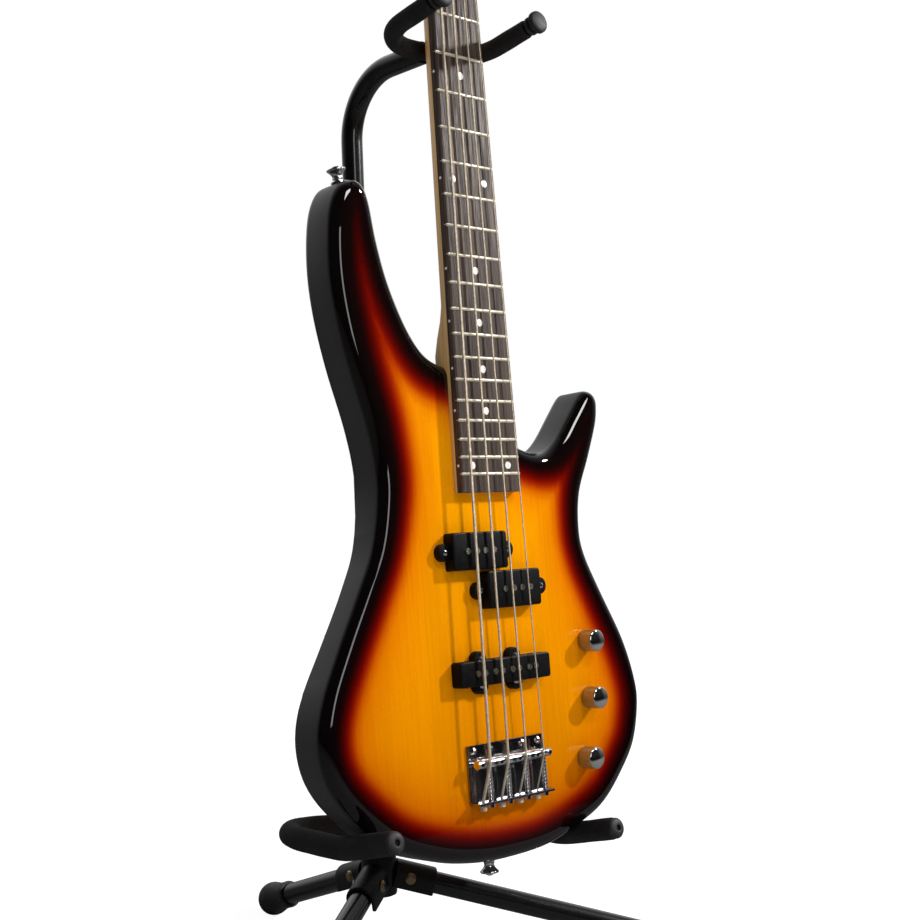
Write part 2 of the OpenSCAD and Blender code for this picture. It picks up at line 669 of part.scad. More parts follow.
module truss_rod() {
    color([0.6, 0.6, 0.62]) on_guitar() {
        truss_path(0);
        translate([0, scale_len + nut_len + 7, rod_z]) rotate([-90, 0, 0])
            cylinder(r = rod_nut_r, h = rod_nut_len);
    }
}
tree_bar_r = 2.2;
function tree_mid() = tree_h + string_r[1] + tree_bar_r + 0.05;
function tree_top() = tree_mid() + tree_bar_r;
module string_tree() {
    color([0.8, 0.8, 0.82]) on_guitar() difference() {
        translate([0, scale_len + tree_y, 0]) {
            translate([-17, 0, tree_mid()]) along_x() cylinder(r = tree_bar_r, h = 34);
            translate([0, 0, head_face]) cylinder(r = 3.4, h = tree_top() - head_face);
        }
        tree_screw(true);
    }
}
module neck_plate() {
    color([0.8, 0.8, 0.82]) on_guitar() difference() {
        translate([-plate_size.x / 2, plate_mid - plate_size.y / 2, -body_t - plate_size.z])
            cube(plate_size);
        neck_screw_places() translate([0, 0, -1]) cylinder(r = neck_screw_r, h = 10);
    }
}
module neck_screws() neck_screw_places() {
    cylinder(r = neck_screw_r, h = body_t + plate_size.z - 7);
    translate([0, 0, -2.4]) cylinder(r1 = neck_screw_head_r - 1.2, r2 = neck_screw_head_r, h = 2.4);
}

// ---- guitar: pickups ----
function pole_xs(a, b, gap) = [for (i = [a:b], s = [-1, 1]) slot(i) * pole_pitch + s * gap / 2];
module pole_shapes(over) {
    for (x = pole_xs(0, 1, split_pole_gap)) translate([x, split_bass.y, 1 - pickup_depth])
        cylinder(d = pole_d, h = pickup_depth - 1 + pickup_h + over);
    for (x = pole_xs(2, 3, split_pole_gap)) translate([x, split_treble.y, 1 - pickup_depth])
        cylinder(d = pole_d, h = pickup_depth - 1 + pickup_h + over);
    for (x = pole_xs(0, 3, single_pole_gap)) translate([x, single_at.y, 1 - pickup_depth])
        cylinder(d = pole_d, h = pickup_depth - 1 + pickup_h + over);
}
module split_pickup() {
    color([0.07, 0.07, 0.08]) on_guitar() difference() {
        for (c = [split_bass, split_treble]) translate([c.x, c.y, -pickup_depth]) {
            linear_extrude(pickup_depth + pickup_h) split_plan(0);
            linear_extrude(pickup_depth + ear_h) split_ears(0);
        }
        pole_shapes(5);
        pickup_screws(true);
    }
}
module bridge_pickup() {
    color([0.05, 0.05, 0.06]) on_guitar() difference() {
        translate([0, 0, -pickup_depth]) {
            linear_extrude(pickup_depth + pickup_h - 0.8) single_plan(0);
            linear_extrude(pickup_depth + ear_h) single_ears_plan(0);
        }
        pole_shapes(5);
        pickup_screws(true);
        translate([0, 0, ear_h]) linear_extrude(20) single_ears_plan(-screw_room);
    }
}
module pole_pieces() {
    color([0.7, 0.68, 0.62]) on_guitar() pole_shapes(pole_rise);
}

// ---- guitar: bridge ----
screw_shift = 2.5;
height_screw_x = 6.6;
fine_screw_r = 1.5;
screw_front = 10;
function saddle_z(i) = string_h_saddle - string_r[i] - saddle_d / 2 - 0.02;
module bridge_plate() {
    color([0.8, 0.8, 0.83]) on_guitar() difference() {
        union() {
            translate([-bridge_w / 2, wall_y, 0]) cube([bridge_w, bridge_len, bridge_t]);
            translate([-bridge_w / 2, wall_y, 0]) cube([bridge_w, bridge_t, bridge_wall_h]);
        }
        for (i = [0:3]) {
            translate([saddle_x(i) + ball_shift, wall_y + 5, ball_h]) along_front()
                cylinder(r = string_r[i] + 0.35, h = 10);
            translate([saddle_x(i) + screw_shift, wall_y + 5, saddle_z(i)]) along_front()
                cylinder(r = fine_screw_r + slip, h = 10);
        }
        bridge_screws(true);
    }
}
module saddles() {
    color([0.84, 0.84, 0.86]) on_guitar() for (i = [0:3]) difference() {
        translate([saddle_x(i) - pitch_saddle / 2 + 0.3, 0, saddle_z(i)]) along_x()
            cylinder(d = saddle_d, h = pitch_saddle - 0.6);
        translate([saddle_x(i) + screw_shift, 10, saddle_z(i)]) along_front()
            cylinder(r = fine_screw_r, h = 20);
        for (s = [-1, 1]) translate([saddle_x(i) + s * height_screw_x, 0, 0])
            cylinder(r = fine_screw_r, h = 20);
    }
}
module saddle_screws() {
    color([0.75, 0.73, 0.66]) on_guitar() for (i = [0:3]) {
        translate([saddle_x(i) + screw_shift, screw_front, saddle_z(i)]) along_front()
            cylinder(r = fine_screw_r, h = screw_front - wall_y + 1);
        translate([saddle_x(i) + screw_shift, wall_y, saddle_z(i)]) along_front() cylinder(r = 2.6, h = 2.2);
        for (s = [-1, 1]) translate([saddle_x(i) + s * height_screw_x, 0, bridge_t])
            cylinder(r = fine_screw_r, h = saddle_z(i) + saddle_d / 2 + 0.8 - bridge_t);
    }
}
spring_turns = 9;
spring_in = fine_screw_r + 0.15;
spring_out = 2.45;
module saddle_springs() {
    color([0.8, 0.76, 0.68]) on_guitar() for (i = [0:3])
        translate([saddle_x(i) + screw_shift, wall_y + bridge_t, saddle_z(i)]) rotate([-90, 0, 0])
            rotate_extrude() let (l = -wall_y - bridge_t - saddle_d / 2, p = l / spring_turns)
                polygon([[spring_in, 0], for (k = [0:spring_turns - 1]) each
                    [[spring_out - 0.5, k * p], [spring_out, (k + 0.5) * p]], [spring_out - 0.5, l],
                        [spring_in, l]]);
}

// ---- guitar: strings ----
function post_z() = head_face + waist_z;
function wrap_r(i) = waist_r() + string_r[i] + running;
function string_path(i) = let (t = tuner_pos(i), x = t.x - tuner_side(i) * wrap_r(i),
    f = tree_y / far_post) [
    [saddle_x(i) + ball_shift, wall_y - ball_r, ball_h],
    [saddle_x(i) + ball_shift, wall_y + bridge_t, ball_h],
    [saddle_x(i), 0, string_h_saddle],
    [nut_x(i), scale_len, string_h_nut],
    [nut_x(i), scale_len + nut_len, string_h_nut],
    if (i == 1 || i == 2) [nut_x(i) * (1 - f) + x * f, scale_len + tree_y, tree_h],
    [x, t.y, post_z()]
];
module string_of(i) {
    color([0.8, 0.76, 0.66]) on_guitar() union() {
        swept(string_path(i), string_r[i]);
        translate(string_path(i)[0]) rotate([90, 0, 0]) cylinder(r = ball_r, h = 3.2, center = true);
        translate([tuner_pos(i).x, tuner_pos(i).y, post_z()]) rotate_extrude()
            for (k = [-1:1]) translate([wrap_r(i), k * string_r[i] * 1.8]) circle(string_r[i], $fn = 24);
    }
}
module string_e() string_of(0);
module string_a() string_of(1);
module string_d() string_of(2);
module string_g() string_of(3);

// ---- guitar: controls ----
module potentiometers() {
    color([0.6, 0.6, 0.6]) on_guitar() for (k = knobs_at) translate([k.x, k.y, -cavity_top_t]) difference() {
        union() {
            translate([0, 0, -pot_h]) cylinder(r = pot_r, h = pot_h);
            cylinder(r = pot_bush_r, h = cavity_top_t + pot_nut_h);
            translate([0, 0, cavity_top_t]) cylinder(r = pot_nut_r, h = pot_nut_h, $fn = 6);
        }
        translate([0, 0, 2 - pot_h]) cylinder(r = pot_shaft_d / 2 + running, h = 40);
    }
}
knob_bore_h = 11;
module knob(k) {
    color([0.72, 0.72, 0.75]) on_guitar() translate([knobs_at[k].x, knobs_at[k].y, knob_lift]) {
        difference() {
            rotate_extrude() polygon([[0, 0], [knob_d / 2, 0], [knob_d / 2, knob_h - 2.6],
                [knob_d / 2 - 0.4, knob_h - 1.6],
                [knob_d / 2 - 1.6, knob_h - 0.8], [knob_d / 4, knob_h - 0.2], [0, knob_h]]);
            translate([0, 0, -1]) cylinder(r = pot_nut_r + 0.6, h = 1 + pot_nut_h);
            translate([0, 0, -1]) cylinder(d = pot_shaft_d, h = 1 + knob_bore_h);
        }
        translate([0, 0, 2.4 - pot_h - cavity_top_t - knob_lift])
            cylinder(d = pot_shaft_d, h = pot_h + cavity_top_t + knob_lift + knob_bore_h - 2.4);
    }
}
module neck_volume_knob() knob(0);
module bridge_volume_knob() knob(1);
module tone_knob() knob(2);
module output_jack() {
    color([0.65, 0.65, 0.68]) on_guitar() at_jack() difference() {
        union() {
            translate([0, 0, -jack_len]) cylinder(r = jack_body_r - slip, h = jack_len - 1 - jack_cup_t);
            translate([0, 0, -1 - jack_cup_t]) cylinder(r = 5, h = jack_cup_t + 2);
        }
        translate([0, 0, 3 - jack_len]) cylinder(d = jack_bore, h = 60);
    }
}
module jack_plate() {
    color([0.8, 0.8, 0.82]) on_guitar() difference() {
        at_jack() translate([0, 0, -1 - jack_cup_t]) difference() {
            cylinder(r = jack_cup_r - slip, h = jack_cup_t);
            translate([0, 0, -1]) cylinder(r = 5, h = 10);
        }
        jack_screws(true);
    }
}
module cavity_cover() {
    color([0.08, 0.08, 0.08]) on_guitar() difference() {
        translate([0, 0, -body_t]) linear_extrude(cover_t) cavity_plan(cover_lip - slip);
        cover_screws(true);
    }
}
module wood_screws() {
    color([0.75, 0.73, 0.68]) on_guitar() {
        neck_screws();
        pickup_screws(false);
        bridge_screws(false);
        cover_screws(false);
        strap_screws(false);
        jack_screws(false);
        tree_screw(false);
        tuner_screws(false);
    }
}
wire_r = 1;
function pot_side(k, s, out = 0.2) = [knobs_at[k].x, knobs_at[k].y + s * (pot_r + out),
    -cavity_top_t - pot_h / 2];
module wiring() {
    lug = [knobs_at[0].x - pot_r - 0.2, knobs_at[0].y, -cavity_top_t - pot_h / 2];
    hole = [single_at.x + single_len / 2 + 0.3, single_at.y, wire_hole_z];
    color([0.7, 0.1, 0.1]) on_guitar() {
        for (k = [0, 1]) let (a = pot_side(k, -1), b = pot_side(k + 1, 1))
            swept([a, pot_side(k, -1, 4), (a + b) / 2 + [3, 0, -5], pot_side(k + 1, 1, 4), b], wire_r);
        swept([lug, lug - [4, 0, 0], [cavity[0].x + 4, (lug.y + hole.y) / 2, hole.z],
            [cavity[0].x, hole.y, hole.z], hole],
            wire_r);
    }
}
module strap_buttons() {
    color([0.78, 0.78, 0.8]) on_guitar() difference() {
        for (u = [horn_u, tail_u]) at_strap(u) rotate_extrude()
            polygon([[strap_bore, 0], [6, 0], [6, 1.5], [3.9, 3.2],
            [3.9, 6], [5, 7.6], [strap_button_d / 2, 8.6], [strap_button_d / 2, strap_h - 1],
            [strap_button_d / 2 - 1.2, strap_h], [strap_bore, strap_h]]);
        strap_screws(true);
    }
}

// ---- guitar: tuners ----
module at_tuner(i) translate([tuner_pos(i).x, tuner_pos(i).y, 0]) mirror([tuner_side(i) < 0 ? 1 : 0, 0, 0])
    children();
module tuner_plates() {
    color([0.78, 0.78, 0.8]) on_guitar() difference() {
        for (i = [0:3]) at_tuner(i) difference() {
            union() {
                translate([-tuner_plate.x / 2, tuner_shift - tuner_plate.y / 2, head_back - tuner_plate.z])
                    cube(tuner_plate);
                for (x = [-lug_at - lug_t, lug_at]) translate([x, worm_y() - 4.4, worm_z() - 4.4])
                    cube([lug_t, 8.8, head_back - tuner_plate.z - worm_z() + 4.4 + 1]);
            }
            translate([0, 0, head_back - 10]) cylinder(r = post_d / 2 + running, h = 20);
            translate([-30, worm_y(), worm_z()]) along_x() cylinder(r = key_shaft_d / 2 + running, h = 60);
        }
        tuner_screws(true);
    }
}
module tuner_bushings() {
    color([0.8, 0.8, 0.83]) on_guitar() for (i = [0:3]) at_tuner(i) difference() {
        union() {
            translate([0, 0, head_back]) cylinder(r = post_d / 2 + bushing_wall, h = head_t);
            translate([0, 0, head_face]) cylinder(r = post_d / 2 + bushing_wall + 1.4, h = bushing_flange);
        }
        translate([0, 0, head_back - 1]) cylinder(r = post_d / 2 + running, h = head_t + 10);
    }
}
module tuner_key(i) {
    worm_len = 2 * lug_at - 0.6;
    color([0.75, 0.75, 0.78]) on_guitar() at_tuner(i) translate([0, worm_y(), worm_z()]) {
        translate([-worm_len / 2, 0, 0]) along_x() rotate_extrude() polygon([[0, 0], [worm_d / 2, 0.4],
            for (k = [0:5]) each [[worm_d / 2 - 0.8, (k + 0.5) * worm_len / 6],
                [worm_d / 2, (k + 0.95) * worm_len / 6]],
            [0, worm_len]]);
        translate([-lug_at - lug_t - 1, 0, 0]) along_x()
            cylinder(d = key_shaft_d, h = key_reach + lug_at + lug_t);
        translate([lug_at + lug_t + 0.3, 0, 0]) along_x() cylinder(r = 3.8, h = 3);
        translate([key_reach, 0, -key_t / 2]) linear_extrude(key_t) {
            translate([-2, 0]) square([8, 9], center = true);
            for (a = [-90, 0, 90]) rotate(a) translate([lobe_r + 0.5, 0]) circle(lobe_r);
        }
    }
}
module tuner_key_e() tuner_key(0);
module tuner_key_a() tuner_key(1);
module tuner_key_d() tuner_key(2);
module tuner_key_g() tuner_key(3);
module tuner_post(i) {
    color([0.8, 0.8, 0.83]) on_guitar() at_tuner(i) {
        rotate_extrude() polygon([[0, worm_z() - wheel_t / 2 - 1], [post_d / 2, worm_z() - wheel_t / 2 - 1],
            [post_d / 2, post_z() - waist_h / 2], [waist_r(), post_z() - waist_h / 2 + 0.8],
            [waist_r(), post_z() + waist_h / 2 - 0.8], [post_d / 2, post_z() + waist_h / 2],
            [post_d / 2, head_face + post_h - 0.6], [post_d / 2 - 0.6, head_face + post_h],
                [0, head_face + post_h]]);
        difference() {
            translate([0, 0, worm_z() - wheel_t / 2]) cylinder(d = wheel_d, h = wheel_t);
            for (k = [0:wheel_teeth - 1]) rotate(360 * k / wheel_teeth)
                translate([wheel_d / 2, 0, worm_z() - wheel_t])
                cylinder(r = 1.1, h = 2 * wheel_t);
        }
    }
}
module tuner_post_e() tuner_post(0);
module tuner_post_a() tuner_post(1);
module tuner_post_d() tuner_post(2);
module tuner_post_g() tuner_post(3);

// ---- stand: hub and legs ----
// A leg's own frame: origin at its pivot, x outwards, y along the pin
module at_pivot(a) rotate([0, 0, a]) translate([pivot_r, 0, 0]) children();
module at_leg(a) at_pivot(a) rotate([0, leg_drop, 0]) children();
module bracket() {
    w = leg_d / 2 + 0.4;
    at = -pivot_r + hub_core_r - 3;
    rotate([90, 0, 90]) translate([0, 0, at]) linear_extrude(bracket_len - at) difference() {
        union() {
            circle(w + hub_wall);
            translate([-w - hub_wall, -leg_d / 2 - 0.5]) square([2 * (w + hub_wall), leg_d / 2 + 0.5]);
        }
        circle(w);
        translate([-w, -leg_d]) square([2 * w, leg_d]);
    }
}
module hub() {
    color([0.06, 0.06, 0.06]) on_stand() difference() {
        union() {
            for (a = leg_angles) at_leg(a) bracket();
            translate([0, 0, -hub_base]) cylinder(r = hub_core_r, h = hub_base + hub_top);
        }
        translate([0, 0, tube_seat]) cylinder(d = lower_tube_d, h = 100);
        for (a = leg_angles) at_pivot(a) rotate([90, 0, 0]) cylinder(d = pin_d, h = 60, center = true);
    }
}
module hub_pins() {
    color([0.72, 0.62, 0.4]) on_stand() for (a = leg_angles) at_pivot(a) rotate([90, 0, 0]) {
        w = leg_d / 2 + 0.4 + hub_wall;
        cylinder(d = pin_d, h = 2 * w, center = true);
        for (s = [0, 1]) mirror([0, 0, s]) translate([0, 0, w]) rotate_extrude()
            polygon([[0, 0], [pin_head_r, 0], [pin_head_r * 0.85, pin_head_h * 0.6],
                [pin_head_r * 0.5, pin_head_h], [0, pin_head_h]]);
    }
}
module leg(k) {
    a = leg_angles[k];
    color([0.07, 0.07, 0.07]) on_stand() difference() {
        at_leg(a) {
            difference() {
                along_x() cylinder(d = leg_d, h = leg_len(a) - foot_inset);
                translate([leg_d / 2 + 2, 0, 0]) along_x()
                    cylinder(d = leg_d - 2 * leg_wall, h = leg_len(a));
            }
            sphere(d = leg_d - slip);
        }
        at_pivot(a) rotate([90, 0, 0]) cylinder(r = pin_d / 2 + running, h = 60, center = true);
    }
}
module leg_left() leg(0);
module leg_right() leg(1);
module leg_rear() leg(2);
module foot(k) {
    a = leg_angles[k];
    color([0.05, 0.05, 0.05]) difference() {
        on_stand() at_leg(a) difference() {
            union() {
                translate([leg_len(a), 0, 0]) sphere(d = foot_d);
                translate([leg_len(a) - foot_sleeve_len, 0, 0]) along_x()
                    cylinder(r = foot_sleeve_r, h = foot_sleeve_len);
            }
            along_x() cylinder(d = leg_d, h = leg_len(a) - foot_inset);
        }
        translate([-500, -500, -60]) cube([1000, 1000, 60]);
    }
}
module foot_left() foot(0);
module foot_right() foot(1);
module foot_rear() foot(2);

// ---- stand: post ----
module lower_tube() {
    color([0.06, 0.06, 0.06]) on_stand() difference() {
        translate([0, 0, tube_seat]) cylinder(d = lower_tube_d, h = lower_tube_len - tube_seat);
        translate([0, 0, tube_seat - 1]) cylinder(r = upper_tube_d / 2 + running, h = lower_tube_len + 20);
    }
}
module gooseneck(r, z0, more) {
    translate([0, 0, z0]) cylinder(r = r, h = gooseneck_z - z0);
    translate([0, -gooseneck_r, gooseneck_z]) rotate([90, 0, 90]) rotate_extrude(angle = 90)
        translate([gooseneck_r, 0]) circle(r);
    translate([0, -gooseneck_r, yoke_z]) along_front() cylinder(r = r, h = gooseneck_end - yoke_boss + more);
}
module upper_tube() {
    color([0.06, 0.06, 0.06]) on_stand() difference() {
        gooseneck(upper_tube_d / 2, upper_tube_start, 0);
        gooseneck(upper_tube_d / 2 - upper_wall, upper_tube_start - 1, 1);
    }
}
module height_clamp() {
    z0 = clamp_z - clamp_grip - clamp_len / 2 + 10;
    color([0.1, 0.1, 0.1]) on_stand() difference() {
        union() {
            translate([0, 0, z0]) cylinder(r = clamp_r, h = clamp_len);
            translate([0, clamp_boss_y, clamp_z]) along_front()
                cylinder(r = clamp_boss_r, h = clamp_boss_y - upper_tube_d / 2 - 1);
        }
        translate([0, 0, z0 - 1]) cylinder(d = lower_tube_d, h = lower_tube_len - z0 + 1);
        cylinder(r = upper_tube_d / 2 + running, h = 1000);
        translate([0, clamp_boss_y + 1, clamp_z]) along_front()
            cylinder(r = clamp_screw_r + running, h = clamp_boss_y);
    }
}
module clamp_knob() {
    y0 = upper_tube_d / 2 + fine;
    y1 = clamp_boss_y + clamp_knob_gap;
    color([0.06, 0.06, 0.06]) on_stand() {
        translate([0, y1 + 1, clamp_z]) along_front() cylinder(r = clamp_screw_r, h = y1 + 1 - y0);
        translate([0, y1 + clamp_knob_t, clamp_z]) along_front() difference() {
            cylinder(r = clamp_knob_r, h = clamp_knob_t);
            for (k = [0:4]) rotate(72 * k) translate([clamp_knob_r + 3.2, 0, -1])
                cylinder(r = 6, h = clamp_knob_t + 2);
            translate([0, 0, clamp_knob_t - 1]) cylinder(r = clamp_screw_r, h = 2);
        }
    }
}

// ---- stand: neck yoke ----
module at_yoke() on_stand() translate([0, yoke_y, yoke_z]) rotate([-yoke_rise, 0, 0]) children();
// At the middle of the yoke's cross bar, z along the end of the gooseneck
module at_yoke_end() translate([0, yoke_y, yoke_z]) along_front() children();
module yoke_bar(r, more) u_bar(r, yoke_half_w, yoke_bend_r, yoke_arm_len + more);
module yoke_frame() {
    color([0.2, 0.2, 0.2]) {
        at_yoke() yoke_bar(yoke_rod_d / 2, 9);
        on_stand() at_yoke_end() difference() {
            union() {
                translate([0, 0, -yoke_boss]) cylinder(d = upper_tube_d, h = yoke_boss - 1);
                translate([0, 0, -yoke_boss - yoke_plug])
                    cylinder(r = upper_tube_d / 2 - upper_wall, h = yoke_plug + 1);
            }
        }
    }
}
module yoke_foam() {
    color([0.07, 0.07, 0.07]) difference() {
        at_yoke() yoke_bar(yoke_foam_d / 2, 0);
        at_yoke() yoke_bar(yoke_rod_d / 2, 20);
        on_stand() at_yoke_end() translate([0, 0, -yoke_boss - 1]) cylinder(d = upper_tube_d, h = yoke_boss);
    }
}
module yoke_caps() {
    r = yoke_foam_d / 2;
    color([0.12, 0.12, 0.12]) at_yoke() for (s = [-1, 1])
        translate([s * yoke_half_w, -yoke_bend_r - yoke_arm_len - cap_gap, 0]) along_front() difference() {
            rotate_extrude() polygon([[0, 0], [r - 1, 0], [r - 0.2, 0.8], [r - 0.2, 4.6], [r - 1.8, 5.4],
                [r - 1.8, 7],
                [r + 1, 7.6], [r + 1.4, 8.6], [r + 1.2, 11], [r - 1, 12.4], [0, 13.4]]);
            translate([0, 0, -1]) cylinder(d = yoke_rod_d, h = 10 - cap_gap);
        }
}

// ---- stand: body cradle ----
module at_cradle() on_stand() translate(cradle_at) rotate([0, cradle_roll, 0]) children();
// The cradle's bar runs from one tip to the other, through points of its straight and bent stretches
bend_steps = 9;
rise_steps = 3;
function arm_points(end) = [
    for (k = [0:bend_steps]) let (a = 90 - 90 * k / bend_steps)
        [cradle_half_w - cradle_bend_r * (1 - cos(a)), cradle_bend_r * (sin(a) - 1), 0],
    for (k = [0:rise_steps]) let (a = cradle_rise * k / rise_steps)
        [cradle_half_w, -cradle_bend_r - cradle_flat_len - cradle_rise_r * sin(a),
            cradle_rise_r * (1 - cos(a))],
    [cradle_half_w, -cradle_bend_r - cradle_flat_len - rise_run - end * cos(cradle_rise),
        cradle_rise_r * (1 - cos(cradle_rise)) + end * sin(cradle_rise)]
];
function cradle_path(end) = let (p = arm_points(end))
    concat([for (k = [len(p) - 1:-1:0]) [-p[k].x, p[k].y, p[k].z]], p);
module cradle_bar(r, end) swept(cradle_path(end), r, 20);
module cradle_mid(size) at_cradle() translate([-cradle_at.x, -cradle_y, 0]) cube(size, center = true);
module cradle_frame() {
    color([0.06, 0.06, 0.06]) difference() {
        union() {
            at_cradle() cradle_bar(cradle_rod_d / 2, cradle_end_len - 1);
            cradle_mid(cradle_block);
        }
        on_stand() cylinder(d = lower_tube_d, h = lower_tube_len);
    }
}
module cradle_foam() {
    color([0.09, 0.09, 0.09]) difference() {
        at_cradle() cradle_bar(cradle_foam_d / 2, cradle_end_len);
        at_cradle() cradle_bar(cradle_rod_d / 2, cradle_end_len + 5);
        cradle_mid(cradle_block + [8, 20, 30]);
    }
}
module cradle_caps() {
    r = cradle_foam_d / 2;
    color([0.15, 0.15, 0.15]) at_cradle() for (s = [-1, 1])
        translate([s * cradle_half_w, -cradle_bend_r - cradle_flat_len - rise_run,
            cradle_rise_r * (1 - cos(cradle_rise))])
            rotate([-cradle_rise, 0, 0]) along_front() translate([0, 0, cradle_end_len]) rotate_extrude()
                polygon([[0, 0], [r - 0.9, 0], [r - 0.7, 1.6], [r - 1.8, 3.2], [r / 2, 4.2], [2.4, 4.4],
                    [2.2, 2], [0, 2]]);
}

body_core();
bass_wing();
treble_wing();
neck_heel();
neck();
headstock();
fingerboard();
frets();
inlay_dots();
nut();
truss_rod();
string_tree();
neck_plate();
split_pickup();
bridge_pickup();
pole_pieces();
bridge_plate();
saddles();
union() {
    saddle_screws();
    saddle_springs();
}
string_e();
string_a();
string_d();
string_g();
potentiometers();
output_jack();
jack_plate();
cavity_cover();
wood_screws();
wiring();
strap_buttons();
union() {
    tuner_plates();
    tuner_bushings();
}
neck_volume_knob();
bridge_volume_knob();
tone_knob();
tuner_key_e();
tuner_key_a();
tuner_key_d();
tuner_key_g();
tuner_post_e();
tuner_post_a();
tuner_post_d();
tuner_post_g();
hub();
leg_left();
leg_right();
leg_rear();
foot_left();
foot_right();
foot_rear();
hub_pins();
lower_tube();
cradle_frame();
cradle_foam();
cradle_caps();
height_clamp();
clamp_knob();
upper_tube();
yoke_frame();
yoke_foam();
yoke_caps();
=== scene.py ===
"""Looks of a four-string bass guitar resting on a folding tripod stand.

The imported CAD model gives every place. Two frames are taken from its joints: GUITAR (x treble, y bridge to nut,
z out of the face, origin on the top under the saddles) and STAND (z along the post, origin between the leg pivots).
Lengths in these frames are in millimetres, and each matrix turns them into the scene's metres.
"""

import json
import math

import bpy
import numpy as np
from mathutils import Matrix, Vector
from mathutils.geometry import delaunay_2d_cdt

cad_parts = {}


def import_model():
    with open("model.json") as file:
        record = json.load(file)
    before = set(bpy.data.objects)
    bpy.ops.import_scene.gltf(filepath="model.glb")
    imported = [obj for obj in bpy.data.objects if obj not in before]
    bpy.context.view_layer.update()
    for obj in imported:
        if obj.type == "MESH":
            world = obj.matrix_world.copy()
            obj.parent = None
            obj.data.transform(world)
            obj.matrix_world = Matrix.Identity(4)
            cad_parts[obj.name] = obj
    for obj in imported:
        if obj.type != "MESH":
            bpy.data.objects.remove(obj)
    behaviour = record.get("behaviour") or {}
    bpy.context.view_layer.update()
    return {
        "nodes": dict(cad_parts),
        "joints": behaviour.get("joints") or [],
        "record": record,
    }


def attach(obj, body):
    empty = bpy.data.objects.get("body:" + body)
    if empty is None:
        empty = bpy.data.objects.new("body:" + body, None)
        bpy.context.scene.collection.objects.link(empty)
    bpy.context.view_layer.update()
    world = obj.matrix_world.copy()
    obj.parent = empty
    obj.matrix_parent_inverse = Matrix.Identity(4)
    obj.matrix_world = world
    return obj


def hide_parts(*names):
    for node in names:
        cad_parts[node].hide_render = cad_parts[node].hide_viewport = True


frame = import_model()

MM = 0.001
RIGHT = Vector((1, 0, 0))
UP = Vector((0, 0, 1))
joints = {j["name"]: j for j in frame["joints"]}
mounts = {m["name"]: m for m in frame["record"]["mounts"]}
SLOT_OF = {s["node"]: s["material_slot"] for s in frame["record"]["subparts"]}


# ---- frames ----
def joint_point(name):
    return Vector(joints[name]["pos_m"])


def joint_axis(name):
    return Vector(joints[name]["axis"])


def frame_matrix(origin, up):
    """Millimetres to scene metres, with x to the right and z along up."""
    turn = Matrix((RIGHT, up.cross(RIGHT), up)).transposed().to_4x4()
    return Matrix.Translation(origin) @ turn @ Matrix.Scale(MM, 4)


# Places of the knobs in the guitar's frame, which the joint of the first one ties to the scene
KNOBS = {"neck_volume_knob": (99, 80), "bridge_volume_knob": (98, 34.5), "tone_knob": (88, -12)}
FIRST_KNOB = KNOBS["neck_volume_knob"]
FACE = joint_axis("neck_volume_knob_turn")
ALONG = FACE.cross(RIGHT)
LEAN = math.atan2(ALONG.y, ALONG.z)
SADDLE = joint_point("neck_volume_knob_turn") - (RIGHT * FIRST_KNOB[0] + ALONG * FIRST_KNOB[1]) * MM
GUITAR = frame_matrix(SADDLE, FACE)
HUB = sum((joint_point(f"leg_{side}_fold") for side in ("left", "right", "rear")), Vector()) / 3
STAND = frame_matrix(HUB, joint_axis("height_slide"))

# ---- sizes of the guitar, in millimetres ----
BODY_T, TOP_R, BACK_R = 40, 10.5, 8
# The belly contour is a ball of this radius, sunk this deep into the back at this place
BELLY_R, BELLY_AT, BELLY_DEPTH = 500, (-160, 140), 12
TAIL_Y, HORN_Y = -76, 437
SCALE, FRETS = 864, 24
NUT_HALF_W, SADDLE_HALF_W = 20, 34.7
NECK_RISE, BOARD_T = 3.5, 5.5
BOARD_TOP = NECK_RISE + BOARD_T
# Corners of the body's outline, counterclockwise from the tail; a smooth curve runs through them
BODY_POINTS = [
    (0, -76), (45, -74), (84, -64), (112, -52), (136, -31), (154, -8), (163, 22), (161.5, 46),
    (150, 80), (127, 122), (112.5, 151), (109, 172), (113, 200), (127, 229), (139, 256), (142.3, 271),
    (141.6, 279.4), (137, 285), (130, 286), (124, 282), (112, 268), (94, 247), (79, 236.5), (65, 234),
    (50, 237), (38, 244), (34, 262), (30, 288), (10, 299), (-20, 300), (-36, 303), (-50.3, 312), (-64, 331.5),
    (-77, 361), (-85, 391), (-90, 421), (-96, 434), (-106, 437), (-118, 430), (-126.5, 410), (-130, 375),
    (-127.5, 340), (-119, 300), (-106, 256), (-100, 225), (-100, 200), (-108, 165), (-123, 135), (-145, 95),
    (-162, 60), (-168.4, 30), (-162, 1), (-142, -25), (-110, -50), (-70, -66), (-35, -73.5),
]

# ---- sizes of the stand, in millimetres ----
YOKE_AT, YOKE_RISE, YOKE_HALF_W, YOKE_BEND_R, YOKE_ARM = (0, -96, 667), 9, 50, 34, 34
YOKE_FOAM_R, YOKE_ROD_R, CAP_GAP = 7.5, 4.5, 1.5
CRADLE_AT, CRADLE_ROLL, CRADLE_HALF_W, CRADLE_BEND_R, CRADLE_FLAT = (-15.656, -17, 49.973), 7.266, 113.474, 58, 36
CRADLE_RISE_R, CRADLE_RISE, CRADLE_END = 90, 12, 46
CRADLE_BLOCK_HALF = 21
CRADLE_FOAM_R, CRADLE_ROD_R = 8.75, 6.0
LEG_ANGLES = {"left": 210, "right": -30, "rear": 90}
PIVOT_R, LEG_DROP, LEG_D = 24, 18, 18
FOOT_R, FOOT_FLAT, FOOT_SLEEVE = 14.5, 0.8, 26
HUB_R, HUB_LOW, HUB_TOP, TUBE_R = 14.5, -13, 24, 11
BRACKET_IN, BRACKET_OUT, BRACKET_START, BRACKET_END = LEG_D / 2 + 0.4, LEG_D / 2 + 3.0, -12.5, 22


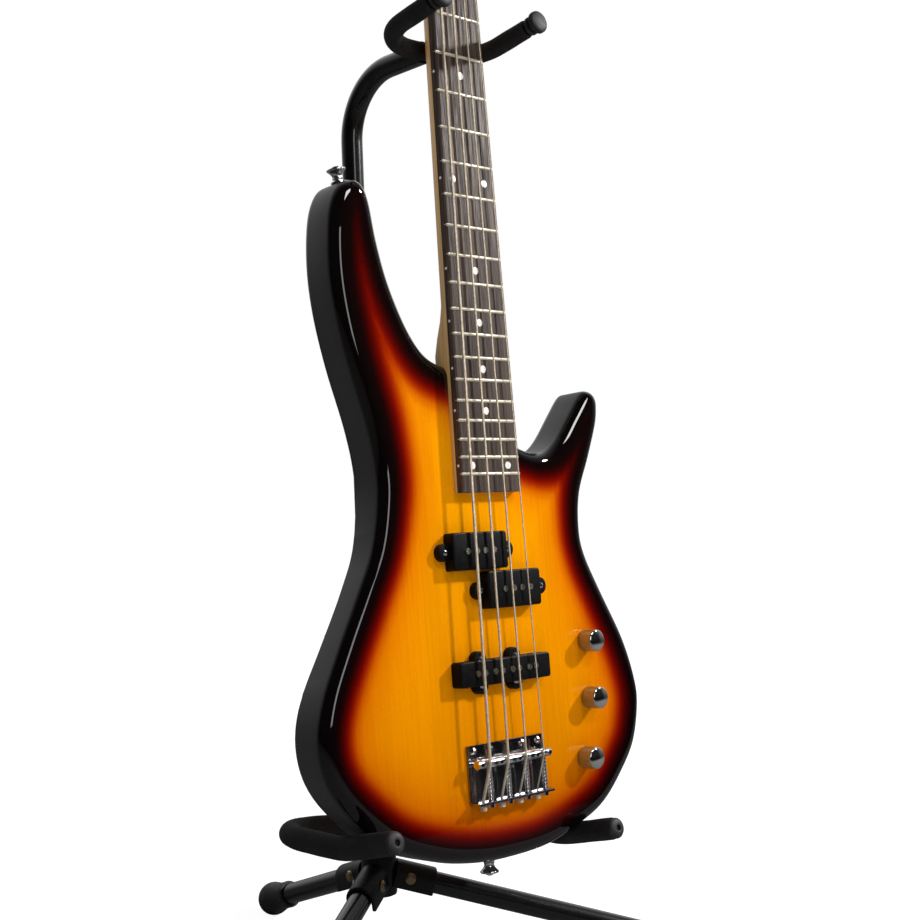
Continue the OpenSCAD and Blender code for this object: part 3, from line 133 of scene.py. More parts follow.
# ---- colour ----
def srgb(r, g, b):
    """A colour as a screen shows it, 0 to 255, in linear light."""
    def linear(v):
        v /= 255
        return v / 12.92 if v <= 0.04045 else ((v + 0.055) / 1.055) ** 2.4
    return (linear(r), linear(g), linear(b), 1.0)


class Material:
    """A Principled material with a few shorthands for its procedural nodes."""

    def __init__(self, name, color, roughness, metallic=0.0, **sockets):
        self.data = bpy.data.materials.new(name)
        self.data.use_nodes = True
        self.tree = self.data.node_tree
        self.bsdf = self.tree.nodes["Principled BSDF"]
        self.bsdf.inputs["Base Color"].default_value = color
        self.bsdf.inputs["Roughness"].default_value = roughness
        self.bsdf.inputs["Metallic"].default_value = metallic
        for socket, value in sockets.items():
            self.bsdf.inputs[socket.replace("_", " ")].default_value = value

    def node(self, kind, **settings):
        made = self.tree.nodes.new(kind)
        for key, value in settings.items():
            if key in made.inputs:
                made.inputs[key].default_value = value
            else:
                setattr(made, key, value)
        return made

    def link(self, out, into):
        self.tree.links.new(out, into)

    def coords(self, scale=(1, 1, 1), turn=0.0):
        """Object coordinates in metres, turned about x and scaled."""
        place = self.node("ShaderNodeTexCoord")
        mapping = self.node("ShaderNodeMapping", vector_type="TEXTURE")
        mapping.inputs["Rotation"].default_value = (turn, 0, 0)
        mapping.inputs["Scale"].default_value = tuple(1 / s for s in scale)
        self.link(place.outputs["Object"], mapping.inputs["Vector"])
        return mapping.outputs["Vector"]

    def noise(self, vector, scale, detail=3.0, roughness=0.5, distortion=0.0):
        made = self.node("ShaderNodeTexNoise", Scale=scale, Detail=detail, Roughness=roughness, Distortion=distortion)
        self.link(vector, made.inputs["Vector"])
        return made.outputs["Fac"]

    def ramp(self, value, stops, interpolation="LINEAR"):
        made = self.node("ShaderNodeValToRGB")
        made.color_ramp.interpolation = interpolation
        elements = made.color_ramp.elements
        while len(elements) < len(stops):
            elements.new(1.0)
        for element, (place, color) in zip(elements, stops):
            element.position = place
            element.color = color if isinstance(color, tuple) else (color, color, color, 1)
        self.link(value, made.inputs["Fac"])
        return made.outputs["Color"]

    def mix(self, factor, a, b, blend="MIX"):
        made = self.node("ShaderNodeMix", data_type="RGBA", blend_type=blend)
        for value, socket in ((factor, "Factor"), (a, "A"), (b, "B")):
            into = [s for s in made.inputs if s.name == socket and s.enabled][0]
            if isinstance(value, bpy.types.NodeSocket):
                self.link(value, into)
            else:
                into.default_value = value
        return [s for s in made.outputs if s.enabled][0]

    def facing(self):
        """1 where the surface faces out of the guitar's face, 0 on its sides, -1 on its back."""
        made = self.node("ShaderNodeVectorMath", operation="DOT_PRODUCT")
        made.inputs[1].default_value = FACE
        self.link(self.node("ShaderNodeNewGeometry").outputs["Normal"], made.inputs[0])
        return made.outputs["Value"]

    def bump(self, height, strength, distance):
        made = self.node("ShaderNodeBump", Strength=strength, Distance=distance)
        self.link(height, made.inputs["Height"])
        self.link(made.outputs["Normal"], self.bsdf.inputs["Normal"])

    def color(self, value):
        self.link(value, self.bsdf.inputs["Base Color"])

    def roughness(self, value):
        self.link(value, self.bsdf.inputs["Roughness"])


# The sunburst's colour by distance from the body's edge, in millimetres; RIM_REACH is the last of them
RIM_REACH = 75
BURST = [
    (0, srgb(9, 6, 6)), (10.5, srgb(10, 3, 3)), (13.5, srgb(30, 2, 2)), (17, srgb(66, 3, 1)),
    (21, srgb(116, 5, 0)), (25, srgb(168, 42, 0)), (29, srgb(208, 96, 0)), (35, srgb(234, 132, 0)),
    (50, srgb(244, 152, 0)), (RIM_REACH, srgb(250, 163, 0)),
]
# How far the burst's edge wanders, in millimetres
BURST_WANDER = 2.0
# Painted shade: the amber darkens and turns more orange toward the tail, where less light falls; its tint by share of
# the body's height: at its tail, at its bridge pickup and from its waist up
AMBER_PAINTED_SHADE = [(0.0, (0.54, 0.42, 1.0, 1)), (0.32, (0.80, 0.72, 1.0, 1)), (0.62, (0.97, 1.0, 1.0, 1))]
# The spray reaches further in on the horns, by place along y, and on the treble side, by place along x
HORN_SHADE = ((150, 250, 330), (1.0, 0.84, 0.70))
TREBLE_SHADE = ((20, 70, 130), (1.0, 0.90, 0.76))


def sunburst():
    """Black at the rim through red to amber, by the distance from the body's edge, under a thick clear coat; painted
    shade darkens the amber toward the tail, and a painted sheen lightens the black sides.
    """
    m = Material("sunburst", (1, 1, 1, 1), 0.5, Coat_Weight=1.0, Coat_Roughness=0.02, Coat_IOR=1.5)
    m.bsdf.inputs["Specular IOR Level"].default_value = 0.0
    rim = m.node("ShaderNodeAttribute", attribute_name="rim")
    spread = m.noise(m.coords(turn=-LEAN), 14, 2)
    wander = m.node("ShaderNodeMath", operation="MULTIPLY_ADD")
    m.link(spread, wander.inputs[0])
    wander.inputs[1].default_value = BURST_WANDER / RIM_REACH
    m.link(rim.outputs["Fac"], wander.inputs[2])
    burst = m.ramp(wander.outputs[0], [(d / RIM_REACH, c) for d, c in BURST], "B_SPLINE")
    fibre = m.noise(m.coords((420, 420, 11), -LEAN), 1.0, 5, 0.62, 0.25)
    boards = m.noise(m.coords((17, 17, 1.1), -LEAN), 1.0, 3, 0.5, 0.6)
    speck = m.noise(m.coords((900, 900, 500), -LEAN), 1.0, 2, 0.7)
    shade = m.ramp(fibre, [(0.3, 0.90), (0.62, 1.0)])
    broad = m.ramp(boards, [(0.35, 0.90), (0.62, 1.0)])
    mottle = m.ramp(speck, [(0.3, 0.93), (0.7, 1.0)])
    grain = m.mix(1.0, m.mix(1.0, shade, broad, "MULTIPLY"), mottle, "MULTIPLY")
    stained = m.mix(1.0, burst, grain, "MULTIPLY")
    # The amber is multiplied by painted shade that darkens it toward the tail
    front = m.mix(1.0, stained, m.ramp(height(m), AMBER_PAINTED_SHADE), "MULTIPLY")
    flat = m.node("ShaderNodeMath", operation="ABSOLUTE")
    m.link(m.facing(), flat.inputs[0])
    # The sides get a dark grey: their black lacquer, partly lifted by a painted sheen for the soft light they catch
    m.color(m.mix(m.ramp(flat.outputs[0], [(0.02, 1.0), (0.3, 0.0)]), front, srgb(44, 42, 43)))
    m.link(m.ramp(flat.outputs[0], [(0.05, 0.42), (0.4, 0.02)]), m.bsdf.inputs["Coat Roughness"])
    return m.data


def height(m):
    """0 at the body's tail, 1 at the tip of its longer horn."""
    parts = m.node("ShaderNodeSeparateXYZ")
    m.link(m.coords(turn=-LEAN), parts.inputs[0])
    share = m.node("ShaderNodeMapRange")
    saddle = SADDLE.dot(ALONG)
    share.inputs["From Min"].default_value = saddle + TAIL_Y * MM
    share.inputs["From Max"].default_value = saddle + HORN_Y * MM
    m.link(parts.outputs["Z"], share.inputs["Value"])
    return share.outputs[0]


def maple():
    m = Material("maple", srgb(214, 168, 104), 0.36, Coat_Weight=0.35, Coat_Roughness=0.22)
    fibre = m.noise(m.coords((420, 420, 14), -LEAN), 1.0, 6, 0.6, 0.3)
    figure = m.noise(m.coords((60, 60, 5), -LEAN), 1.0, 3, 0.5, 0.8)
    pale = m.ramp(fibre, [(0.32, srgb(193, 144, 82)), (0.6, srgb(224, 181, 118))])
    m.color(m.mix(m.ramp(figure, [(0.35, 0.0), (0.7, 0.35)]), pale, srgb(201, 152, 88)))
    m.bump(fibre, 0.08, 0.0002)
    return m.data


def rosewood():
    m = Material("rosewood", srgb(70, 56, 48), 0.6)
    m.bsdf.inputs["Specular IOR Level"].default_value = 0.2
    pores = m.noise(m.coords((1300, 1300, 36), -LEAN), 1.0, 5, 0.65, 0.1)
    streaks = m.noise(m.coords((210, 210, 7), -LEAN), 1.0, 4, 0.6, 0.6)
    wood = m.ramp(streaks, [(0.3, srgb(46, 35, 30)), (0.52, srgb(70, 56, 48)), (0.72, srgb(92, 76, 66))])
    m.color(m.mix(m.ramp(pores, [(0.36, 0.85), (0.52, 0.0)]), wood, srgb(30, 22, 20)))
    m.roughness(m.ramp(pores, [(0.35, 0.7), (0.6, 0.42)]))
    m.bump(pores, 0.35, 0.0003)
    return m.data


def metal(name, color, roughness, wear=0.06, bump=0.0):
    """Plated metal: faint handling marks in its roughness."""
    m = Material(name, color, roughness, 1.0)
    marks = m.noise(m.coords(), 900, 4, 0.65)
    m.roughness(m.ramp(marks, [(0.3, max(roughness - wear, 0.02)), (0.75, roughness + wear)]))
    if bump:
        m.bump(m.noise(m.coords(), 2600, 3), bump, 0.0001)
    return m.data


def fret_metal():
    """Filed and polished nickel silver, bright from every side."""
    m = Material("fret_nickel", srgb(224, 214, 192), 0.34, 0.55)
    marks = m.noise(m.coords(), 1400, 3, 0.6)
    m.roughness(m.ramp(marks, [(0.3, 0.28), (0.75, 0.42)]))
    return m.data


def knob_metal():
    """Polished on the knob's end; its knurled side is painted golden, a painted reflection of the amber that it
    stands on.
    """
    m = Material("knob_chrome", srgb(222, 220, 216), 0.08, 1.0)
    facing = m.facing()
    # Painted reflection: the side's golden colour stands in for the amber body mirrored in the chrome
    m.color(m.ramp(facing, [(0.3, srgb(160, 138, 84)), (0.7, srgb(216, 214, 210))]))
    m.roughness(m.ramp(facing, [(0.3, 0.3), (0.7, 0.08)]))
    m.link(m.ramp(facing, [(0.3, 0.6), (0.7, 1.0)]), m.bsdf.inputs["Metallic"])
    m.bump(m.noise(m.coords(), 1800, 2), 0.04, 0.0001)
    return m.data


# One turn of the wave texture takes this many millimetres at scale 1
WAVE_MM = 314


def wound_metal(name, color, turn_mm):
    """Round-wound string: fine turns along its length."""
    m = Material(name, color, 0.34, 0.55)
    wave = m.node("ShaderNodeTexWave", wave_type="BANDS", bands_direction="Z", Scale=1.0)
    m.link(m.coords((WAVE_MM / turn_mm,) * 3, -LEAN), wave.inputs["Vector"])
    m.bump(wave.outputs["Fac"], 0.5, 0.00015)
    m.color(m.mix(m.noise(m.coords(), 500, 2), color, srgb(150, 128, 100)))
    return m.data


def plastic(name, color, roughness, grain=0.0, grain_scale=1500, specular=0.5):
    m = Material(name, color, roughness)
    m.bsdf.inputs["Specular IOR Level"].default_value = specular
    haze = m.noise(m.coords(), 260, 4, 0.6)
    m.roughness(m.ramp(haze, [(0.3, max(roughness - 0.06, 0.03)), (0.7, roughness + 0.08)]))
    if grain:
        m.bump(m.noise(m.coords(), grain_scale, 3), grain, 0.0002)
    return m.data


def gloss_paint():
    """Black lacquered tube, with a little orange peel."""
    m = Material("gloss_black_paint", (0.003, 0.003, 0.0032, 1), 0.3, Coat_Weight=0.6, Coat_Roughness=0.08)
    m.bsdf.inputs["Specular IOR Level"].default_value = 0.2
    m.bump(m.noise(m.coords(), 420, 2), 0.03, 0.0002)
    dust = m.noise(m.coords(), 1500, 5, 0.7)
    m.roughness(m.ramp(dust, [(0.45, 0.24), (0.75, 0.42)]))
    return m.data


def foam():
    """Matte closed-cell sleeve: fine pores and soft rub marks."""
    m = Material("foam", srgb(24, 22, 22), 0.86)
    m.bsdf.inputs["Specular IOR Level"].default_value = 0.25
    cells = m.node("ShaderNodeTexVoronoi", Scale=1700.0)
    m.link(m.coords(), cells.inputs["Vector"])
    rub = m.noise(m.coords(), 45, 4, 0.6)
    m.color(m.mix(m.ramp(rub, [(0.42, 0.0), (0.75, 0.5)]), srgb(22, 20, 20), srgb(42, 38, 37)))
    m.bump(cells.outputs["Distance"], 0.35, 0.00035)
    return m.data


def rubber():
    m = Material("black_rubber", srgb(26, 25, 26), 0.62)
    scuff = m.noise(m.coords(), 70, 5, 0.65)
    m.color(m.mix(m.ramp(scuff, [(0.5, 0.0), (0.8, 0.45)]), srgb(24, 23, 24), srgb(62, 59, 57)))
    m.roughness(m.ramp(scuff, [(0.35, 0.5), (0.7, 0.75)]))
    m.bump(m.noise(m.coords(), 1200, 3), 0.12, 0.0002)
    return m.data


MATERIALS = {
    "sunburst": sunburst(),
    "maple": maple(),
    "rosewood": rosewood(),
    "ivory": plastic("ivory_plastic", srgb(228, 220, 200), 0.3),
    "pearl": plastic("dot_white", srgb(236, 234, 228), 0.26),
    "fret": fret_metal(),
    "knob_chrome": knob_metal(),
    "bridge_chrome": metal("bridge_chrome", srgb(158, 158, 162), 0.14, 0.05),
    "nickel": metal("nickel", srgb(200, 190, 174), 0.26),
    "pole": metal("pole_steel", srgb(206, 198, 182), 0.3, 0.1, 0.1),
    "string": wound_metal("wound_nickel", srgb(224, 214, 194), 0.5),
    "chrome": metal("chrome", srgb(226, 226, 230), 0.06, 0.03),
    "steel": metal("steel", srgb(160, 160, 164), 0.3),
    "pickup_black": plastic("pickup_black", srgb(9, 8, 9), 0.4, 0.04, specular=0.12),
    "wire": plastic("wire_red", srgb(150, 24, 20), 0.45),
    "black_paint": gloss_paint(),
    "hub_black": plastic("hub_black", srgb(12, 12, 13), 0.4, 0.16, 900, specular=0.25),
    "foam": foam(),
    "black_rubber": rubber(),
    "rivet": metal("rivet", srgb(150, 134, 104), 0.34),
}


# ---- building ----
def put(name, verts, faces, place, material, body, nodes, smooth=40):
    """A mesh piece from points in a frame's millimetres, riding on a CAD body and standing for CAD nodes."""
    mesh = bpy.data.meshes.new(name)
    mesh.from_pydata([tuple(place @ Vector(v)) for v in verts], [], faces)
    mesh.materials.append(MATERIALS[material])
    piece = bpy.data.objects.new(name, mesh)
    bpy.context.scene.collection.objects.link(piece)
    if smooth:
        mesh.shade_smooth()
        mesh.set_sharp_from_angle(angle=math.radians(smooth))
    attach(piece, body)
    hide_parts(*nodes)
    return piece


def lathe(profile, turns=48, notches=0, depth=0.0):
    """Points and faces of a profile of (radius, height) turned about z; its ends close on the axis or stay open.
    Where a profile point has a third value, notches are cut there, as in knurling."""
    verts, faces, rows = [], [], []
    for radius, level, *knurled in profile:
        if radius == 0:
            rows.append([len(verts)])
            verts.append((0, 0, level))
            continue
        rows.append(list(range(len(verts), len(verts) + turns)))
        for k in range(turns):
            cut = depth * (0.5 - 0.5 * math.cos(math.tau * k * notches / turns)) if knurled else 0
            angle = math.tau * k / turns
            verts.append(((radius - cut) * math.cos(angle), (radius - cut) * math.sin(angle), level))
    for low, high in zip(rows, rows[1:]):
        for k in range(turns):
            ring = [low[k % len(low)], low[(k + 1) % len(low)], high[(k + 1) % len(high)], high[k % len(high)]]
            faces.append(tuple(dict.fromkeys(ring)))
    return verts, faces


def skin(rows, around):
    """Faces over rows of points, each with as many points around, with the first and the last row closed."""
    faces = []
    for low in range(0, (rows - 1) * around, around):
        high = low + around
        faces += [(low + k, low + (k + 1) % around, high + (k + 1) % around, high + k) for k in range(around)]
    return faces + [tuple(reversed(range(around))), tuple(range((rows - 1) * around, rows * around))]


def tube(points, radii, turns=24):
    """A tube through points, one radius for each, closed at both ends."""
    points = [Vector(p) for p in points]
    ahead = [(points[min(i + 1, len(points) - 1)] - points[max(i - 1, 0)]).normalized() for i in range(len(points))]
    side = ahead[0].orthogonal().normalized()
    verts = []
    for place, along, radius in zip(points, ahead, radii):
        side = (side - along * side.dot(along)).normalized()
        across = along.cross(side)
        verts += [place + (side * math.cos(math.tau * k / turns) + across * math.sin(math.tau * k / turns)) * radius
                  for k in range(turns)]
    return verts, skin(len(points), turns)


def rounded_rectangle(length, width, corner, steps=5):
    """Counterclockwise outline of a rectangle with round corners."""
    found = []
    for sx, sy, start in ((1, 1, 0), (-1, 1, 90), (-1, -1, 180), (1, -1, 270)):
        for k in range(steps + 1):
            angle = math.radians(start + 90 * k / steps)
            found.append((sx * (length / 2 - corner) + corner * math.cos(angle),
                          sy * (width / 2 - corner) + corner * math.sin(angle)))
    return found


def slab(length, width, corner, low, high, edge, steps=4):
    """A block with round corners and a rounded top edge, from height low to high."""
    rings = [(0.0, low), (0.0, high - edge)]
    rings += [(edge * (1 - math.cos(math.pi / 2 * k / steps)), high - edge + edge * math.sin(math.pi / 2 * k / steps))
              for k in range(1, steps + 1)]
    verts = []
    for inset, level in rings:
        ring = rounded_rectangle(length - 2 * inset, width - 2 * inset, max(corner - inset, 0.05))
        verts += [(x, y, level) for x, y in ring]
    return verts, skin(len(rings), len(ring))


def moved(shape, matrix):
    """The points and faces of a shape, its points turned into another frame."""
    verts, faces = shape
    return [matrix @ Vector(v) for v in verts], faces


def joined(shapes):
    """The points and faces of several shapes as one."""
    verts, faces = [], []
    for more, polygons in shapes:
        faces += [tuple(i + len(verts) for i in f) for f in polygons]
        verts += list(more)
    return verts, faces


def at(x, y, z, turn=None, axis="Z"):
    """A place in a frame, turned by some degrees about one of its axes."""
    place = Matrix.Translation((x, y, z))
    return place if turn is None else place @ Matrix.Rotation(math.radians(turn), 4, axis)


# ---- guitar body ----
# Points of the outline from one of its corners to the next
OUTLINE_STEPS = 6


def outline(steps):
    """The closed Catmull-Rom curve through the body's points."""
    n = len(BODY_POINTS)
    curve = []
    for i in range(n):
        p0, p1, p2, p3 = (np.array(BODY_POINTS[(i + k) % n], float) for k in (-1, 0, 1, 2))
        for k in range(steps):
            t = k / steps
            curve.append(0.5 * (2 * p1 + (p2 - p0) * t + (2 * p0 - 5 * p1 + 4 * p2 - p3) * t * t
                                + (3 * p1 - p0 - 3 * p2 + p3) * t ** 3))
    return np.array(curve)


def distance_to(points, loop):
    """Distance of each point to the closed loop, and whether it lies inside."""
    a, b = loop, np.roll(loop, -1, axis=0)
    best = np.full(len(points), 1e9)
    inside = np.zeros(len(points), bool)
    for p, q in zip(a, b):
        d = q - p
        t = np.clip(((points - p) @ d) / (d @ d), 0, 1)
        best = np.minimum(best, np.linalg.norm(points - p - t[:, None] * d, axis=1))
        crosses = (p[1] > points[:, 1]) != (q[1] > points[:, 1])
        at = p[0] + (points[:, 1] - p[1]) * d[0] / np.where(d[1] == 0, 1e-12, d[1])
        inside ^= crosses & (points[:, 0] < at)
    return best, inside


# Rings just inside the rounding, which keep its highlight even, and the spacing of the points of the flat
FLAT_RINGS, FLAT_GRID = (0.8, 2.6), 5.0


def face_points(loop, radius, turns=8):
    """Points that a rounded face needs: rings along its rounded edge, then a staggered grid over its flat."""
    grid = FLAT_GRID
    tangent = np.roll(loop, -1, axis=0) - np.roll(loop, 1, axis=0)
    inward = np.stack([-tangent[:, 1], tangent[:, 0]], 1) / np.linalg.norm(tangent, axis=1)[:, None]
    found = [loop]
    insets = [radius * (1 - math.cos(math.pi / 2 * k / turns)) for k in range(1, turns + 1)]
    for inset in insets + [radius + further for further in FLAT_RINGS]:
        ring = loop + inward * inset
        reach, inside = distance_to(ring, loop)
        found.append(ring[inside & (reach > inset - 0.04)])
    low, high = loop.min(0), loop.max(0)
    xs, ys = np.arange(low[0], high[0], grid), np.arange(low[1], high[1], grid)
    cells = np.array([(x + (grid / 2 if j % 2 else 0), y) for j, y in enumerate(ys) for x in xs])
    reach, inside = distance_to(cells, loop)
    found.append(cells[inside & (reach > radius + FLAT_RINGS[-1] + grid / 2)])
    return np.vstack(found)


def rounded_face(loop, radius):
    """A flat face with a rounded edge: its points, its faces, how far each point drops, and the outline's points."""
    points = face_points(loop, radius)
    n = len(loop)
    edges = [(i, (i + 1) % n) for i in range(n)]
    made, _, faces, origin, _, _ = delaunay_2d_cdt([Vector(p) for p in points], edges, [], 1, 1e-6)
    flat = np.array([tuple(v) for v in made])
    first = {o: i for i, olds in enumerate(origin) for o in olds}
    reach, _ = distance_to(flat, loop)
    reach[[first[i] for i in range(n)]] = 0
    drop = np.where(reach < radius, radius - np.sqrt(np.maximum(radius ** 2 - (radius - reach) ** 2, 0)), 0)
    return flat, faces, drop, [first[i] for i in range(n)]


# The control cavity's cover: two opposite corners and the radius of its round corners
COVER_LOW, COVER_HIGH, COVER_R = (67.95, -35.05), (124.05, 103.05), 17.0


def in_cover(x, y):
    """Whether a point of the back lies over the control cavity's cover."""
    dx = max(COVER_LOW[0] + COVER_R - x, x - COVER_HIGH[0] + COVER_R, 0)
    dy = max(COVER_LOW[1] + COVER_R - y, y - COVER_HIGH[1] + COVER_R, 0)
    return math.hypot(dx, dy) < COVER_R


def guitar_body():
    """One skin over the three boards: rounded front and back, straight sides, and a hole under the cavity cover."""
    loop = outline(OUTLINE_STEPS)
    n = len(loop)
    top, top_faces, top_drop, top_rim = rounded_face(loop, TOP_R)
    back, back_faces, back_drop, back_rim = rounded_face(loop, BACK_R)
    belly = BELLY_DEPTH - BELLY_R + np.sqrt(np.maximum(
        BELLY_R ** 2 - (back[:, 0] - BELLY_AT[0]) ** 2 - (back[:, 1] - BELLY_AT[1]) ** 2, 0))
    back_z = -BODY_T + np.maximum(back_drop, belly)
    verts = [(x, y, -d) for (x, y), d in zip(top, top_drop)] + [(x, y, z) for (x, y), z in zip(back, back_z)]
    shift = len(top)
    kept = [f for f in back_faces if not in_cover(*np.mean([back[i] for i in f], axis=0))]
    faces = [tuple(f) for f in top_faces]
    faces += [tuple(shift + i for i in reversed(f)) for f in kept]
    faces += [(top_rim[i], shift + back_rim[i], shift + back_rim[(i + 1) % n], top_rim[(i + 1) % n])
              for i in range(n)]
    boards = ["body_core", "bass_wing", "treble_wing"]
    piece = put("sunburst_body", verts, faces, GUITAR, "sunburst", "guitar", boards, smooth=0)
    carve_jack(piece)
    paint_rim(piece.data, loop)
    piece.data.shade_smooth()
    piece.data.set_sharp_from_angle(angle=math.radians(50))


# The cup's radius, the length of the cylinder that cuts it, and how far its middle lies out from the jack's mount
JACK_CUP_R, JACK_CUP_LEN, JACK_CUP_OUT = 14, 12, 15.5


def carve_jack(piece):
    """Cuts the jack's round cup into the body's side."""
    mouth = mounts["output_jack"]
    axis = Vector(mouth["axis"])
    bpy.ops.mesh.primitive_cylinder_add(vertices=48, radius=JACK_CUP_R * MM, depth=JACK_CUP_LEN * MM)
    cutter = bpy.context.object
    middle = Vector(mouth["pos_m"]) + axis * JACK_CUP_OUT * MM
    cutter.matrix_world = Matrix.Translation(middle) @ axis.to_track_quat("Z", "Y").to_matrix().to_4x4()
    bpy.context.view_layer.update()
    cut = piece.modifiers.new("jack", "BOOLEAN")
    cut.operation = "DIFFERENCE"
    cut.solver = "EXACT"
    cut.object = cutter
    with bpy.context.temp_override(object=piece, active_object=piece, selected_objects=[piece]):
        bpy.ops.object.modifier_apply(modifier=cut.name)
    bpy.data.objects.remove(cutter)


def paint_rim(mesh, loop):
    """Stores how far each point lies inside the outline, as a share of RIM_REACH; the side walls are 0."""
    to_guitar = GUITAR.inverted()
    points = np.array([tuple(to_guitar @ v.co) for v in mesh.vertices])
    reach, _ = distance_to(points[:, :2], loop)
    reach *= np.interp(points[:, 1], *HORN_SHADE) * np.interp(points[:, 0], *TREBLE_SHADE)
    attribute = mesh.attributes.new("rim", "FLOAT", "POINT")
    attribute.data.foreach_set("value", (reach / RIM_REACH).astype(np.float32))


# ---- neck and hardware ----
def fret_y(n):
    """Where a fret lies along the strings."""
    return SCALE * 2 ** (-n / 12)


def half_w(y):
    """Half the fingerboard's width at a place along the strings."""
    return NUT_HALF_W + (SADDLE_HALF_W - NUT_HALF_W) * (SCALE - y) / SCALE


FRET_W, FRET_H, TANG_W, TANG_H = 2.5, 1.15, 0.6, 1.8
# A fret ends this far inside the board's side
FRET_SHORT = 0.1


def fret_wire():
    """Crowned frets, each with its ends filed to a slope, and the tang's end showing in the board's side."""
    shapes = []
    for n in range(1, FRETS + 1):
        y, w = fret_y(n), half_w(fret_y(n)) - FRET_SHORT
        crown = [(FRET_W / 2 * math.cos(math.pi * k / 8), FRET_H * math.sin(math.pi * k / 8)) for k in range(9)]
        verts, faces = [], []
        stations = [(-w, 0.1), (-w + 0.35, 0.55), (-w + 1.1, 1), (w - 1.1, 1), (w - 0.35, 0.55), (w, 0.1)]
        for x, size in stations:
            verts += [(x, y + a * (0.6 + 0.4 * size), BOARD_TOP - 0.02 + b * size) for a, b in crown]
        m = len(crown)
        for i in range(len(stations) - 1):
            faces += [(i * m + k, i * m + k + 1, (i + 1) * m + k + 1, (i + 1) * m + k) for k in range(m - 1)]
            faces.append((i * m + m - 1, i * m, (i + 1) * m, (i + 1) * m + m - 1))
        faces += [tuple(reversed(range(m))), tuple(range(len(verts) - m, len(verts)))]
        shapes.append((verts, faces))
        tang = slab(2 * w, TANG_W, 0.05, BOARD_TOP - TANG_H, BOARD_TOP, 0.02, 1)
        shapes.append(moved(tang, at(0, y, 0)))
    put("fret_wire", *joined(shapes), GUITAR, "fret", "guitar", ["frets"])


PICKUP_TOP, EAR_TOP, EAR_R, PICKUP_LOW = 10.5, 6, 6.6, -11.9
SPLIT_LEN, SPLIT_W, SPLIT_EAR_OUT = 56, 28.5, 4
SPLIT_BASS, SPLIT_TREBLE = (-18, 157.8), (15, 127.6)
SINGLE_LEN, SINGLE_W, SINGLE_AT, SINGLE_EARS = 94.5, 19, (-0.4, 66.5), (-23, 13)
SPLIT_CORNER, SINGLE_CORNER, PICKUP_EDGE, EAR_EDGE = 2.6, 2.4, 1.2, 0.7


def ear(x, y):
    """A round ear that a pickup's screw goes through."""
    return moved(slab(2 * EAR_R, 2 * EAR_R, EAR_R - 0.06, PICKUP_LOW, EAR_TOP, EAR_EDGE), at(x, y, 0))


def pickups():
    """Moulded covers with round corners and softened edges."""
    covers = []
    half = slab(SPLIT_LEN, SPLIT_W, SPLIT_CORNER, PICKUP_LOW, PICKUP_TOP, PICKUP_EDGE)
    for x, y in (SPLIT_BASS, SPLIT_TREBLE):
        covers.append(moved(half, at(x, y, 0)))
        covers += [ear(x + s * (SPLIT_LEN / 2 + SPLIT_EAR_OUT), y) for s in (-1, 1)]
    put("split_pickup_covers", *joined(covers), GUITAR, "pickup_black", "guitar", ["split_pickup"])
    bar = slab(SINGLE_LEN, SINGLE_W, SINGLE_CORNER, PICKUP_LOW, PICKUP_TOP, PICKUP_EDGE)
    single = [moved(bar, at(*SINGLE_AT, 0))]
    single += [ear(x, SINGLE_AT[1] + s * SINGLE_W / 2) for x in SINGLE_EARS for s in (-1, 1)]
    put("bridge_pickup_cover", *joined(single), GUITAR, "pickup_black", "guitar", ["bridge_pickup"])


KNOB_R, KNOB_H, KNOB_LIFT = 8.7, 14.5, 1.0
KNURLS, KNURL_DEPTH = 60, 0.16
# From a strap button's foot to its waist, where its mount is
WAIST_UP = 4.6


def knobs():
    """Turned metal knobs: a fine knurl round the side, a polished rim and a shallow dome."""
    r, h = KNOB_R, KNOB_H
    side = [(r - 0.5, 0), (r - 0.15, 0.25), (r, 0.6, 1), (r, h - 3.3, 1), (r - 0.05, h - 3.0)]
    rim = [(r - 0.1, h - 2.4), (r - 0.3, h - 2.0), (r - 0.75, h - 1.55), (r - 1.2, h - 1.35)]
    dome = [(d, h - 1.35 + 1.35 * (1 - (d / (r - 1.2)) ** 2)) for d in (6.6, 5.4, 4.0, 2.6, 1.2)]
    shape = lathe([(0, 0.02)] + side + rim + dome + [(0, h)], 180, KNURLS, KNURL_DEPTH)
    for name, (x, y) in KNOBS.items():
        put(name + "_turned", *moved(shape, at(x, y, KNOB_LIFT)), GUITAR, "knob_chrome", name + "_body", [name])


def strap_pins():
    """Strap buttons flared like a trumpet, over a small foot."""
    flare = [(5.6, 0), (5.9, 0.4), (5.7, 1.3), (4.4, 2.1), (3.9, 2.8), (4.25, 3.3), (4.1, 3.9), (3.8, 4.6)]
    flare += [(3.8 + 3.3 * t ** 1.8, 4.6 + 4.9 * t) for t in (0.25, 0.5, 0.7, 0.85, 1.0)]
    flare += [(7.25, 9.9), (7.2, 10.5), (6.9, 10.9), (6.2, 11), (4, 10.8), (3.7, 10.2), (0, 10.2)]
    shapes = []
    for end in ("horn", "tail"):
        waist = mounts["strap_button_" + end]
        axis = Vector(waist["axis"])
        foot = Vector(waist["pos_m"]) - axis * WAIST_UP * MM
        place = Matrix.Translation(foot) @ axis.to_track_quat("Z", "Y").to_matrix().to_4x4() @ Matrix.Scale(MM, 4)
        shapes.append(moved(lathe([(0, 0)] + flare, 64), place))
    put("strap_pins", *joined(shapes), Matrix.Identity(4), "chrome", "guitar", ["strap_buttons"])


BRIDGE_W, BRIDGE_LEN, BRIDGE_T, WALL_H = 79, 43.5, 2.0, 12.0
BRIDGE_END = 13.5
WALL_Y = BRIDGE_END - BRIDGE_LEN


